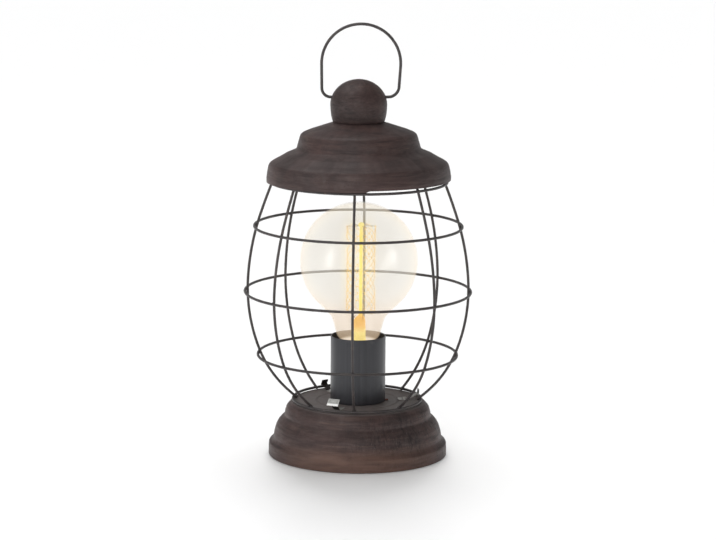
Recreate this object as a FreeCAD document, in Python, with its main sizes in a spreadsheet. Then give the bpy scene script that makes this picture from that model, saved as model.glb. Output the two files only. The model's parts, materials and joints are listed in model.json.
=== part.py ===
import FreeCAD, Part
import Sketcher
import math
import os
from FreeCAD import Placement, Rotation, Vector

# Lantern table lamp, millimetres, +Z up.
# Origin: centre of the foot on the surface it stands on. The viewer's side is -Y.

doc = FreeCAD.newDocument("lantern_table_lamp")
sheet = doc.addObject("Spreadsheet::Sheet", "params")
sheet.Label = "params"


# ---------------------------------------------------------------- dimensions
class Dim:
    """A length: its value now, and the text that binds it to the sheet."""

    def __init__(self, value, text):
        self.v = value
        self.s = text

    def __add__(self, o):
        o = as_dim(o)
        return Dim(self.v + o.v, "(%s + %s)" % (self.s, o.s))

    def __radd__(self, o):
        return as_dim(o) + self

    def __sub__(self, o):
        o = as_dim(o)
        return Dim(self.v - o.v, "(%s - %s)" % (self.s, o.s))

    def __rsub__(self, o):
        return as_dim(o) - self

    def __mul__(self, k):
        return Dim(self.v * k, "(%s * %.8g)" % (self.s, k))

    def __rmul__(self, k):
        return self * k

    def __truediv__(self, k):
        return Dim(self.v / k, "(%s / %.8g)" % (self.s, k))


def as_dim(x):
    return x if isinstance(x, Dim) else Dim(float(x), "%.8g" % x)


P = {}
_row = [0]


def cell(alias, value):
    _row[0] += 1
    row = str(_row[0])
    sheet.set("A" + row, alias)
    sheet.set("B" + row, repr(float(value)))
    sheet.setAlias("B" + row, alias)
    P[alias] = Dim(float(value), "params." + alias)
    return P[alias]


def cells(prefix, pairs):
    """Profile corners (radius, height): prefix_rad0, prefix_lev0, prefix_rad1, ..."""
    out = []
    for i, (rad, lev) in enumerate(pairs):
        out.append((cell("%s_rad%d" % (prefix, i), rad), cell("%s_lev%d" % (prefix, i), lev)))
    return out


# foot
cell("foot_wall", 1.0)
cell("deck_top", 43.8)
cell("nipple_hole_rad", 5.3)
FOOT = cells("foot", [(52.0, 43.8), (54.0, 43.1), (55.5, 41.5), (57.8, 38.9), (59.1, 34.8), (59.3, 31.6),
                      (62.3, 29.2), (64.5, 26.6), (66.0, 23.8), (67.6, 18.5), (68.3, 13.6), (69.6, 12.0),
                      (72.0, 10.0), (72.3, 5.0), (72.2, 0.4)])
cell("plate_rad", 70.6)
cell("plate_bottom", 1.2)
cell("plate_thick", 1.0)
cell("pad_rad", 70.0)
cell("screw_circle_rad", 60.0)
cell("screw_head_rad", 3.4)
cell("screw_shank_rad", 1.6)
cell("inlet_rad", 66.8)
cell("inlet_lev", 21.2)
cell("inlet_tilt", 16.8)
cell("grommet_bore_rad", 3.3)
cell("grommet_body_rad", 4.6)
cell("grommet_flange_rad", 6.4)

# nipple and what it clamps
cell("nipple_rad", 4.9)
cell("nipple_bore_rad", 3.6)
cell("nipple_bottom", 34.5)
cell("nipple_top", 51.5)
cell("nut_flat_rad", 8.1)
cell("nut_thick", 3.2)
cell("washer_thick", 1.0)

# sleeve and lampholder
cell("sleeve_rad", 22.2)
cell("sleeve_wall", 1.0)
cell("sleeve_top", 97.4)
cell("holder_rad", 19.4)
cell("holder_top", 88.5)
cell("holder_floor", 58.0)

# screw thread of the lampholder and the bulb cap (27 mm Edison)
cell("thread_pitch", 3.629)
cell("thread_mean", 12.6)
cell("thread_amp", 0.5)
cell("thread_gap", 0.3)
cell("shell_wall", 0.45)

# bulb
cell("globe_rad", 47.4)
cell("globe_lev", 158.6)
cell("glass_wall", 0.8)
cell("bulb_contact_lev", 66.0)

# cage
cell("wire_rad", 1.1)
cell("upright_turn", -2.57)
RINGS = []
for name, rad, lev in (("bottom", 51.9, 45.2), ("lower", 80.4, 81.8), ("middle", 90.9, 133.8),
                       ("upper", 83.36, 186.7), ("top", 70.75, 222.9)):
    RINGS.append((name, cell("ring_%s_rad" % name, rad), cell("ring_%s_lev" % name, lev)))

# lid, ball, handle
cell("lid_wall", 0.9)
cell("lid_pivot_lev", 224.0)
cell("lid_side_tilt", 0.45)
cell("lid_back_tilt", 1.0)
LID = cells("lid", [(20.4, 270.4), (25.6, 268.8), (32.8, 266.4), (39.4, 264.2), (44.3, 262.2), (46.4, 260.7),
                    (47.3, 258.2), (48.5, 253.9), (49.5, 250.2), (50.4, 248.7), (52.4, 247.7), (58.8, 245.0),
                    (64.1, 241.8), (68.7, 239.4), (70.9, 238.0), (72.1, 236.1), (73.1, 232.0), (73.9, 227.0),
                    (73.7, 224.3)])
cell("ball_rad", 22.8)
cell("ball_mid_lev", 284.2)
cell("ball_upper", 20.4)
cell("ball_bottom", 270.4)
cell("ball_wall", 1.4)
cell("stud_rad", 2.9)
cell("handle_rad", 1.2)
cell("handle_axis_lev", 290.3)
cell("handle_clear", 0.07)
cell("handle_half", 31.4)
cell("handle_top_centre", 316.8)
cell("handle_corner", 8.5)
cell("handle_corner_left", 7.1)
cell("handle_end", 18.6)
cell("handle_lean", 2.3)
cell("handle_shift", 1.05)
cell("handle_tilt", 1.9)

# the cage stands a little to one side of the foot, and the bulb's inner mount a little to the other
cell("cage_shift", -0.6)
cell("mount_shift", 1.7)

doc.recompute()

EXPORT = []


def finish(obj, label):
    obj.Label = label
    EXPORT.append((label, obj))
    return obj


def origin_plane(body, role):
    return [f for f in body.Origin.OriginFeatures if f.Role == role][0]


# ---------------------------------------------------------------- sketches
def draw_profile(sk, verts, arcs):
    """Closed outline: straight lines, or an arc where arcs has an entry {side number: (radius, left turn)}."""
    n = len(verts)
    pts = [Vector(as_dim(a).v, as_dim(b).v, 0) for a, b in verts]
    geo = []
    ends = []
    for i in range(n):
        a, b = pts[i], pts[(i + 1) % n]
        if i in arcs:
            rad, left = arcs[i]
            rad = as_dim(rad)
            mid = (a + b) * 0.5
            d = b - a
            h = math.sqrt(max(rad.v ** 2 - (d.Length / 2) ** 2, 0.0))
            nrm = Vector(-d.y, d.x, 0) / d.Length
            c = mid + nrm * (h if left else -h)
            a0 = math.atan2(a.y - c.y, a.x - c.x)
            a1 = math.atan2(b.y - c.y, b.x - c.x)
            if left:
                geo.append(Part.ArcOfCircle(Part.Circle(c, Vector(0, 0, 1), rad.v), a0, a1))
                ends.append((1, 2))
            else:
                geo.append(Part.ArcOfCircle(Part.Circle(c, Vector(0, 0, 1), rad.v), a1, a0))
                ends.append((2, 1))
        else:
            geo.append(Part.LineSegment(a, b))
            ends.append((1, 2))
    sk.addGeometry(geo, False)
    for i in range(n):
        j = (i + 1) % n
        sk.addConstraint(Sketcher.Constraint("Coincident", i, ends[i][1], j, ends[j][0]))
    binds = []
    for i, (a, b) in enumerate(verts):
        for kind, val, axis in (("DistanceX", as_dim(a), -2), ("DistanceY", as_dim(b), -1)):
            if abs(val.v) < 1e-9:
                sk.addConstraint(Sketcher.Constraint("PointOnObject", i, ends[i][0], axis))
            else:
                k = sk.addConstraint(Sketcher.Constraint(kind, -1, 1, i, ends[i][0], val.v))
                nm = ("px%d" if axis == -2 else "py%d") % i
                sk.renameConstraint(k, nm)
                binds.append((nm, val.s))
    for i in sorted(arcs):
        rad = as_dim(arcs[i][0])
        k = sk.addConstraint(Sketcher.Constraint("Radius", i, rad.v))
        sk.renameConstraint(k, "rad%d" % i)
        binds.append(("rad%d" % i, rad.s))
    for nm, text in binds:
        sk.setExpression("Constraints." + nm, text)


def turned(label, verts, arcs=None, angle=360.0, export=True):
    """A body of revolution about the vertical axis."""
    body = doc.addObject("PartDesign::Body", label + "_body")
    body.Label = label
    sk = body.newObject("Sketcher::SketchObject", label + "_profile")
    sk.AttachmentSupport = [(origin_plane(body, "XZ_Plane"), "")]
    sk.MapMode = "FlatFace"
    draw_profile(sk, verts, arcs or {})
    rev = body.newObject("PartDesign::Revolution", label + "_turn")
    rev.Profile = sk
    rev.ReferenceAxis = (sk, ["V_Axis"])
    rev.Angle = angle
    if angle < 360:
        rev.Midplane = True
    body.Tip = rev
    if export:
        finish(body, label)
    return body


def bore(body, name, rad, length, place):
    """A round hole through a body."""
    cut = body.newObject("PartDesign::SubtractiveCylinder", name)
    cut.Radius = as_dim(rad).v
    cut.setExpression("Radius", as_dim(rad).s)
    cut.Height = length
    cut.Placement = place
    body.Tip = cut
    return cut


def spun_shell(prefix, outer, wall, centre_rad, centre_lev):
    """Outline of a spun shell: outer corners from the hub to the edge, then back along the inside."""
    pts = [(centre_rad, centre_lev)] + list(outer)
    xy = [(as_dim(a).v, as_dim(b).v) for a, b in pts]
    nrm = []
    for i in range(len(xy)):
        segs = []
        for a, b in ((i - 1, i), (i, i + 1)):
            if a >= 0 and b < len(xy):
                dx, dy = xy[b][0] - xy[a][0], xy[b][1] - xy[a][1]
                ln = math.hypot(dx, dy)
                segs.append((dy / ln, -dx / ln))
        mx = sum(q[0] for q in segs) / len(segs)
        my = sum(q[1] for q in segs) / len(segs)
        k = segs[0][0] * mx + segs[0][1] * my
        nrm.append((mx / k, my / k))
    inner = []
    for i, (a, b) in enumerate(pts):
        ux, uy = nrm[i]
        if i == 0:
            ux = 0.0
        if i == len(pts) - 1:
            uy = 0.0
        inner.append((as_dim(a) + wall * ux, as_dim(b) + wall * uy))
    return list(pts) + inner[::-1]


# ---------------------------------------------------------------- the foot
FW = P["foot_wall"]
foot = turned("base_shell", spun_shell("foot", FOOT, FW, P["nipple_hole_rad"], P["deck_top"]))
CLIP_AT = (("right", 6.0), ("rear", 125.0), ("front", 246.0))
TAB_WIDTH = {"right": 8.0, "rear": 5.6, "front": 9.6}
TAB_LIFT = {"right": 0.0, "rear": 0.0, "front": 1.7}
# the pressed tab of each clip, seen from its side: nearly upright on the right, leaning inward behind, slanting in front
TAB_SHAPE = {"right": [(48.7, 47.3), (49.25, 47.3), (49.7, 52.0), (49.15, 52.0)],
             "rear": [(48.7, 47.3), (49.25, 47.6), (47.3, 51.9), (46.75, 51.6)],
             "front": [(49.8, 48.75), (50.2, 49.15), (45.9, 53.65), (45.5, 53.25)]}
TAB_ROOT = {"right": [(47.2, 47.35), (49.0, 47.3), (49.0, 48.5), (47.4, 48.5)],
            "rear": [(47.2, 47.35), (48.9, 47.3), (48.5, 48.5), (47.4, 48.5)],
            "front": [(47.0, 49.0), (49.4, 49.0), (49.7, 49.2), (48.2, 50.9), (47.0, 49.95)]}
RIVET_RAD = 38.0
for nm, az in CLIP_AT:
    c, s = math.cos(math.radians(az)), math.sin(math.radians(az))
    bore(foot, "rivet_hole_" + nm, 1.25, 6, Placement(Vector(RIVET_RAD * c, RIVET_RAD * s, 40), Rotation()))
TILT = P["inlet_tilt"].v
INLET_ROT = Rotation(Vector(1, 0, 0), -(90.0 - TILT))          # +Z to outward and a little up, at the back
bore(foot, "inlet_hole", P["grommet_body_rad"] + 0.05, 12,
     Placement(Vector(0, P["inlet_rad"].v, P["inlet_lev"].v) - INLET_ROT.multVec(Vector(0, 0, 6)), INLET_ROT))

plate = turned("base_plate", [(0, P["plate_bottom"]), (P["plate_rad"], P["plate_bottom"]),
                              (P["plate_rad"], P["plate_bottom"] + P["plate_thick"]),
                              (0, P["plate_bottom"] + P["plate_thick"])])
pad = turned("felt_pad", [(0, 0), (P["pad_rad"], 0), (P["pad_rad"], P["plate_bottom"]), (0, P["plate_bottom"])])
SCREW_AT = (30.0, 150.0, 270.0)
for i, az in enumerate(SCREW_AT):
    c, s = math.cos(math.radians(az)), math.sin(math.radians(az))
    at = Vector(P["screw_circle_rad"].v * c, P["screw_circle_rad"].v * s, -1)
    bore(plate, "plate_hole%d" % i, P["screw_shank_rad"] + 0.4, 8, Placement(at, Rotation()))
    bore(pad, "pad_hole%d" % i, P["screw_head_rad"] + 0.6, 6, Placement(at, Rotation()))


def group(label, members):
    """Identical pieces, each a solid of its own, in one node."""
    comp = doc.addObject("Part::Compound", label + "_group")
    comp.Links = members
    return finish(comp, label)


def cyl(name, rad, length, base, axis=Vector(0, 0, 1)):
    o = doc.addObject("Part::Cylinder", name)
    o.Radius = as_dim(rad).v
    o.setExpression("Radius", as_dim(rad).s)
    o.Height = as_dim(length).v
    o.setExpression("Height", as_dim(length).s)
    o.Placement = Placement(base, Rotation(Vector(0, 0, 1), axis))
    return o


def blk(name, lx, ly, lz, place):
    o = doc.addObject("Part::Box", name)
    o.Length, o.Width, o.Height = lx, ly, lz
    o.Placement = place
    return o


def fuse(name, parts):
    o = doc.addObject("Part::MultiFuse", name)
    o.Shapes = parts
    return o


def cut(name, a, b):
    o = doc.addObject("Part::Cut", name)
    o.Base, o.Tool = a, b
    return o


screws, brackets = [], []
for i, az in enumerate(SCREW_AT):
    c, s = math.cos(math.radians(az)), math.sin(math.radians(az))
    x, y = P["screw_circle_rad"].v * c, P["screw_circle_rad"].v * s
    head = cyl("plate_screw_head%d" % i, P["screw_head_rad"], 1.0, Vector(x, y, 0.2))
    slot = blk("plate_screw_slot%d" % i, 8, 0.8, 0.6, Placement(Vector(x - 4, y - 0.4, 0.0), Rotation()))
    shank = cyl("plate_screw_shank%d" % i, P["screw_shank_rad"], 6.6, Vector(x, y, 1.2))
    screws.append(fuse("plate_screw%d" % i, [cut("plate_screw_cut%d" % i, head, slot), shank]))
    low = P["plate_bottom"] + P["plate_thick"]
    br = turned("plate_bracket%d" % i, [(54, low), (71.0, low), (71.0, low + 6.4), (69.8, low + 6.4), (69.8, low + 1.2), (54, low + 1.2)],
                angle=14.0, export=False)
    br.Placement = Placement(Vector(), Rotation(Vector(0, 0, 1), az))
    brackets.append(cut("plate_bracket_cut%d" % i, br, cyl("plate_bracket_hole%d" % i, P["screw_shank_rad"] + 0.05, 8, Vector(x, y, 0))))
group("plate_screws", screws)
group("plate_brackets", brackets)

# cable inlet: a rubber grommet in the back of the foot
gb, gr, gf = P["grommet_bore_rad"], P["grommet_body_rad"], P["grommet_flange_rad"]
grommet = turned("cable_grommet", [(gb, -2.8), (gf, -2.8), (gf, -1.5), (gr, -1.5), (gr, 0.15), (gf, 0.15), (gf - 0.4, 1.4), (gb, 1.8)])
grommet.Placement = Placement(Vector(0, P["inlet_rad"].v, P["inlet_lev"].v), INLET_ROT)

# terminal block on the plate
tb = blk("terminal_block_blank", 26, 14, 9, Placement(Vector(-13, 26, 2.2), Rotation()))
holes = []
tops = []
for i, x in enumerate((-8.0, 0.0, 8.0)):
    holes.append(cyl("terminal_way%d" % i, 1.3, 16, Vector(x, 25, 6.0), Vector(0, 1, 0)))
    holes.append(cyl("terminal_well%d" % i, 1.8, 6, Vector(x, 33, 7.4)))
    tops.append(cyl("terminal_block_screw%d" % i, 1.6, 3.0, Vector(x, 33, 7.4)))
finish(cut("terminal_block_cut", tb, fuse("terminal_block_holes", holes)), "terminal_block")
group("terminal_block_screws", tops)

# earth screw: through a strap on the plate
es = [cyl("earth_screw_head", 3.0, 1.6, Vector(-30, 20, 4.0)), cyl("earth_screw_shank", 1.6, 3.0, Vector(-30, 20, 1.3))]
finish(fuse("earth_screw_whole", es), "earth_screw")
bore(plate, "earth_hole", 1.65, 8, Placement(Vector(-30, 20, -1), Rotation()))
finish(cut("earth_washer_cut", cyl("earth_washer_disc", 4.0, 0.8, Vector(-30, 20, 2.2)),
           cyl("earth_washer_hole", 1.65, 3, Vector(-30, 20, 1.4))), "earth_washer")
bore(pad, "earth_pad_hole", 2.2, 6, Placement(Vector(-30, 20, -1), Rotation()))

# ---------------------------------------------------------------- nipple, nut, sleeve, lampholder
turned("threaded_nipple", [(P["nipple_bore_rad"], P["nipple_bottom"]), (P["nipple_rad"], P["nipple_bottom"]),
                           (P["nipple_rad"], P["nipple_top"]), (P["nipple_bore_rad"], P["nipple_top"])])
under = P["deck_top"] - FW
turned("lock_washer", [(P["nipple_rad"] + 0.05, under - P["washer_thick"]), (8.0, under - P["washer_thick"]),
                       (8.0, under), (P["nipple_rad"] + 0.05, under)])
hexa = doc.addObject("Part::Prism", "nipple_nut_hex")
hexa.Polygon = 6
hexa.Circumradius = P["nut_flat_rad"].v
hexa.setExpression("Circumradius", P["nut_flat_rad"].s)
hexa.Height = P["nut_thick"].v
hexa.setExpression("Height", P["nut_thick"].s)
hexa.Placement = Placement(Vector(0, 0, (under - P["washer_thick"] - P["nut_thick"]).v), Rotation())
finish(cut("nipple_nut_cut", hexa, cyl("nipple_nut_hole", P["nipple_rad"] + 0.03, 12, Vector(0, 0, 34))), "nipple_nut")

SR, SW, DT = P["sleeve_rad"], P["sleeve_wall"], P["deck_top"]
sleeve = turned("socket_sleeve", [(5.3, DT), (SR, DT), (SR, P["sleeve_top"]), (SR - SW, P["sleeve_top"]), (SR - SW, DT + SW), (5.3, DT + SW)])
tabf = sleeve.newObject("PartDesign::AdditiveBox", "sleeve_foot_tab")
tabf.Length, tabf.Width, tabf.Height = 4.0, 3.0, 1.0
tabf.Placement = Placement(Vector(20.6, -1.5, DT.v), Rotation())
sleeve.Tip = tabf

HR, HT, HF = P["holder_rad"], P["holder_top"], P["holder_floor"]
turned("lampholder_body", [(5.0, DT + SW), (HR, DT + SW), (HR, HT - 1.0), (HR - 1.0, HT), (15.2, HT), (15.2, HF + 4), (13.9, HF + 4),
                           (13.9, HF), (6.2, HF), (6.2, P["nipple_top"] + 0.3), (5.0, P["nipple_top"] + 0.3)])


def padded(label, verts, width, extra=None, export=True):
    """A strip: outline in the XZ plane, made equally thick to both sides."""
    body = doc.addObject("PartDesign::Body", label + "_body")
    body.Label = label
    tip = None
    for k, (vv, ww) in enumerate([(verts, width)] + (extra or [])):
        sk = body.newObject("Sketcher::SketchObject", "%s_outline%d" % (label, k))
        sk.AttachmentSupport = [(origin_plane(body, "XZ_Plane"), "")]
        sk.MapMode = "FlatFace"
        draw_profile(sk, vv, {})
        tip = body.newObject("PartDesign::Pad", "%s_pad%d" % (label, k))
        tip.Profile = sk
        tip.Length = as_dim(ww).v
        tip.setExpression("Length", as_dim(ww).s)
        tip.Midplane = True
    body.Tip = tip
    if export:
        finish(body, label)
    return body


cell("contact_strip", 4.0)
padded("centre_contact", [(10.2, HF), (10.2, HF + 0.5), (5.4, HF + 0.5), (2.4, 65.65), (-2.4, 65.65), (-2.4, 65.1), (2.0, 65.1), (4.9, HF)],
       P["contact_strip"])
group("terminal_screws", [cyl("terminal_screw_live", 1.5, 1.8, Vector(8.2, 0, 58.5)), cyl("terminal_screw_neutral", 1.5, 1.8, Vector(-9.2, 0, 58.0))])


# ---------------------------------------------------------------- Edison thread
PITCH, MEAN, AMP = P["thread_pitch"].v, P["thread_mean"].v, P["thread_amp"].v


def skin_face(radius, z0, z1, nz):
    """A closed skin r(angle, height) as one smooth surface between two heights."""
    nt = 48
    keep = 2.0 / 3.0 + math.cos(2 * math.pi / nt) / 3.0      # a cubic closed round runs this far inside its poles
    steps = [0.0, 1.0 / 3.0] + [float(j) for j in range(1, nz)] + [nz - 1.0 / 3.0, float(nz)]
    poles = []
    for i in range(nt):
        th = 2 * math.pi * i / nt
        line = []
        for q in steps:
            z = z0 + (z1 - z0) * q / nz
            rr = radius(th, z) / keep
            line.append(Vector(rr * math.cos(th), rr * math.sin(th), z))
        poles.append(line)
    bs = Part.BSplineSurface()
    bs.buildFromPolesMultsKnots(poles, [1] * (nt + 1), [4] + [1] * (nz - 1) + [4],
                                [float(k) for k in range(nt + 1)], [float(k) for k in range(nz + 1)], True, False, 3, 3)
    return bs.toShape()


def smooth(x):
    x = min(max(x, 0.0), 1.0)
    return x * x * (3 - 2 * x)


def thread_tube(r_out, r_in, z0, z1, nz):
    """A tube between two skins, closed by flat rings."""
    skins = [skin_face(r_out, z0, z1, nz), skin_face(r_in, z0, z1, nz)]
    faces = list(skins)
    for z in (z0, z1):
        rims = []
        for f in skins:
            edge = [e for e in f.Edges if abs(e.BoundBox.ZMax - z) < 1e-4 and abs(e.BoundBox.ZMin - z) < 1e-4][0]
            rims.append(Part.Wire([edge]))
        faces.append(Part.makeFace(rims, "Part::FaceMakerBullseye"))
    skin = Part.makeShell(faces)
    skin.sewShape()
    solid = Part.makeSolid(skin)
    if solid.Volume < 0:
        solid.reverse()
    return solid


def cap_skin(th, z):
    f = smooth((z - 71.5) / 2.0) * smooth((89.0 - z) / 2.0)
    r = MEAN - AMP + AMP * f * (1 + math.cos(2 * math.pi * z / PITCH - th))
    if z > 89.8:
        r += 1.5 * smooth((z - 89.8) / 2.6)
    if z < 71.5:
        r -= 0.8 * smooth((71.5 - z) / 1.5)
    return r


def cap_inside(th, z):
    r = MEAN - AMP - 0.6
    if z < 72.0:
        r -= 0.8 * smooth((72.0 - z) / 1.6)
    if z > 90.4:
        r += 1.5 * smooth((z - 90.4) / 2.2)
    return r


def shell_skin(th, z):
    g = smooth((z - 64.0) / 2.5) * smooth((86.5 - z) / 2.5)
    return MEAN + AMP + P["thread_gap"].v - AMP * g * (1 - math.cos(2 * math.pi * z / PITCH - th))


def shell_outside(th, z):
    return shell_skin(th, z) + P["shell_wall"].v


def shaped(label, shape, place=None):
    o = doc.addObject("Part::Feature", label + "_shape")
    o.Shape = shape
    if place:
        o.Placement = place
    return finish(o, label)


shaped("bulb_cap", thread_tube(cap_skin, cap_inside, 70.2, 92.4, 74))
shaped("lampholder_shell", thread_tube(shell_outside, shell_skin, HF.v, HT.v - 0.5, 96))

# ---------------------------------------------------------------- the bulb
GR, GL, GW = P["globe_rad"], P["globe_lev"], P["glass_wall"]
NECK_JOIN = 35.0
NECK = cells("neck", [(NECK_JOIN, GL.v - math.sqrt(GR.v ** 2 - NECK_JOIN ** 2)), (27.4, 118.9), (22.2, 113.6), (20.2, 108.5),
                      (19.3, 104.9), (18.4, 100.9), (17.2, 97.4), (15.2, 95.0), (12.9, 93.0), (11.5, 91.6), (11.5, 86.0)])
outer = [(0, GL + GR), (GR, GL)] + NECK
inner_r = GR - GW
zi = GL.v - math.sqrt(inner_r.v ** 2 - 34.4 ** 2)
inner = [(0, GL + inner_r), (inner_r, GL), (34.4, zi), (26.8, 119.5), (21.5, 113.9), (19.4, 108.6), (18.5, 104.9), (17.6, 101.0),
         (16.4, 97.8), (14.4, 95.5), (12.2, 93.6), (10.5, 92.0), (10.5, 86.0)]
verts = outer + inner[::-1]
arcs = {0: (GR, False), 1: (GR, False), len(verts) - 3: (inner_r, True), len(verts) - 2: (inner_r, True)}
turned("bulb_glass", verts, arcs)

# glass stem: flare, tube, pinch, centre rod with a bead on top
stem = turned("bulb_stem", [(10.4, 86.0), (10.4, 87.0), (6.4, 92.0), (5.9, 96.0), (5.9, 104.0), (5.2, 109.0), (3.2, 112.6), (0, 113.4), (0, 109.6),
                            (3.2, 107.0), (4.9, 102.0), (4.9, 96.0), (5.4, 91.4), (9.4, 86.0)])
for nm, rad, low, high in (("bulb_rod", 1.3, 110.5, 187.0), ("bulb_bead", 2.4, 186.0, 189.6)):
    rod = stem.newObject("PartDesign::AdditiveCylinder", nm)
    rod.Radius, rod.Height = rad, high - low
    rod.Placement = Placement(Vector(P["mount_shift"].v, 0, low), Rotation())
    stem.Tip = rod
turned("bulb_insulator", [(4.7, 67.6), (5.6, 67.6), (10.65, 70.2), (10.65, 71.0), (4.7, 70.4)])
turned("bulb_contact", [(0, P["bulb_contact_lev"]), (2.6, P["bulb_contact_lev"] + 0.1), (4.0, P["bulb_contact_lev"] + 0.8),
                        (4.5, P["bulb_contact_lev"] + 1.7), (4.5, 69.6), (0, 69.6)])

# filament: strands up and down round the centre rod, with half-round turns
FR, NS = 11.8, 10
STEP = math.radians(32.0)
LOW, HIGH = 119.5, 183.5


MOUNT = Vector(P["mount_shift"].v, 0, 0)


def strand_xy(k):
    a = math.radians(-81.0) + STEP * k
    return Vector(FR * math.cos(a), FR * math.sin(a), 0)


edges = []
half = FR * math.sin(STEP / 2)
for k in range(NS):
    q = strand_xy(k)
    a, b = Vector(q.x, q.y, LOW) + MOUNT, Vector(q.x, q.y, HIGH) + MOUNT
    up = k % 2 == 0
    edges.append(Part.LineSegment(a, b).toShape() if up else Part.LineSegment(b, a).toShape())
    if k < NS - 1:
        q2 = strand_xy(k + 1)
        lev = HIGH if up else LOW
        mid = (q + q2) * 0.5
        top = Vector(mid.x, mid.y, lev + (half if up else -half))
        edges.append(Part.Arc(Vector(q.x, q.y, lev) + MOUNT, top + MOUNT, Vector(q2.x, q2.y, lev) + MOUNT).toShape())


def swept(edge_list, rad):
    wire = Part.Wire(edge_list)
    e0 = wire.Edges[0]
    p0 = e0.valueAt(e0.FirstParameter)
    t0 = e0.tangentAt(e0.FirstParameter)
    circ = Part.Wire([Part.Circle(p0, t0, rad).toShape()])
    return wire.makePipeShell([circ], True, False)


def ordered(edge_list):
    return [e for grp in Part.sortEdges(edge_list) for e in grp]


def rods(label, pairs, rad):
    solids = []
    for a, b in pairs:
        a, b = Vector(*a) + MOUNT, Vector(*b) + MOUNT
        solids.append(Part.makeCylinder(rad, (b - a).Length, a, b - a))
    return shaped(label, Part.makeCompound(solids))


shaped("filament", swept(edges, 0.32))
f0, f9 = strand_xy(0), strand_xy(NS - 1)
rods("lead_wires", [((1.9, -1.5, 109.6), (f0.x * 0.985, f0.y * 0.985, LOW - 0.5)), ((-2.4, 0.9, 109.6), (f9.x * 0.985, f9.y * 0.985, LOW - 0.5))], 0.3)
sup = []
for k in range(NS - 1):
    m = (strand_xy(k) + strand_xy(k + 1)) * 0.5
    lev = HIGH + half if k % 2 == 0 else LOW - half
    rin = 2.2 if k % 2 == 0 else 1.5
    u = Vector(m.x, m.y, 0) / Vector(m.x, m.y, 0).Length
    end = m.Length - 0.33
    sup.append(((u.x * rin, u.y * rin, lev), (u.x * end, u.y * end, lev)))
rods("filament_supports", sup, 0.22)


# ---------------------------------------------------------------- inner wires: straight runs joined by tangent arcs
def run(points, bend):
    pts = [Vector(*q) for q in points]
    out = []
    at = pts[0]
    for i in range(1, len(pts) - 1):
        a, b, c = pts[i - 1], pts[i], pts[i + 1]
        u, w = (a - b).normalize(), (c - b).normalize()
        half_turn = (math.pi - u.getAngle(w)) / 2
        tan_len = bend * math.tan(half_turn)
        p1, p2 = b + u * tan_len, b + w * tan_len
        bis = (u + w).normalize()
        mid = b + bis * (tan_len / math.cos(half_turn) * 1.0 - 0.0)
        centre = b + bis * (bend / math.cos(half_turn))
        mid = centre - bis * bend
        out.append(Part.LineSegment(at, p1).toShape())
        out.append(Part.Arc(p1, mid, p2).toShape())
        at = p2
    out.append(Part.LineSegment(at, pts[-1]).toShape())
    return out


shaped("wire_live", swept(run([(8, 27, 6), (8, 16, 6), (1.4, 0.4, 16), (1.4, 0.8, 55.0), (5.0, 4.2, 60.3), (8.6, 2.4, 59.9)], 2.0), 0.7))
shaped("wire_neutral", swept(run([(0, 27, 6), (0, 15, 6), (-1.4, 0.4, 16), (-1.4, 0.8, 55.0), (-5.4, 4.2, 60.0), (-9.4, 2.4, 59.3)], 2.0), 0.7))
shaped("wire_earth", swept(run([(-8, 27, 6), (-8, 19, 6), (-17, 15, 4.6), (-27.2, 18.4, 3.7)], 5.0), 0.7))

# ---------------------------------------------------------------- spring clips on the deck
cell("clip_width", 5.0)
for nm in TAB_WIDTH:
    cell("clip_tab_width_" + nm, TAB_WIDTH[nm])
feet, rivets = [], []
for nm, az in CLIP_AT:
    turn = Placement(Vector(), Rotation(Vector(0, 0, 1), az))
    foot_strip = padded("clip_foot_" + nm, [(33.0, DT), (40.4, DT), (40.4, DT + 0.6), (33.0, DT + 0.6)], P["clip_width"] + 1.5, export=False)
    foot_strip.Placement = turn
    c, s = math.cos(math.radians(az)), math.sin(math.radians(az))
    feet.append(cut("clip_foot_cut_" + nm, foot_strip, cyl("clip_foot_hole_" + nm, 1.25, 4, Vector(RIVET_RAD * c, RIVET_RAD * s, 42))))
    rv = turned("clip_rivet_" + nm, [(0, 42.2), (1.9, 42.2), (1.9, 42.8), (1.2, 42.8), (1.2, 44.4), (2.1, 44.4), (2.0, 44.9), (1.3, 45.4), (0, 45.6)],
                export=False)
    rv.Placement = Placement(Vector(RIVET_RAD * c, RIVET_RAD * s, 0), Rotation())
    rivets.append(rv)
    up = TAB_LIFT[nm]
    tongue = padded("clip_tongue_" + nm,
                    [(40.8, 44.05), (41.1, 44.05), (47.6, 47.6 + up), (48.0, 48.0 + up), (47.7, 48.4 + up), (40.8, 44.65)], P["clip_width"],
                    extra=[(TAB_SHAPE[nm], P["clip_tab_width_" + nm]), (TAB_ROOT[nm], P["clip_width"])])
    tongue.Placement = turn
group("clip_feet", feet)
group("clip_rivets", rivets)

# ---------------------------------------------------------------- the cage
WR = P["wire_rad"]
for name, rad, lev in RINGS:
    t = doc.addObject("Part::Torus", "ring_" + name)
    t.Radius1, t.Radius2 = rad.v, WR.v
    t.setExpression("Radius1", rad.s)
    t.setExpression("Radius2", WR.s)
    t.Placement = Placement(Vector(P["cage_shift"].v, 0, lev.v), Rotation())
    t.setExpression("Placement.Base.x", P["cage_shift"].s)
    t.setExpression("Placement.Base.z", lev.s)
    finish(t, "cage_ring_" + name)

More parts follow.
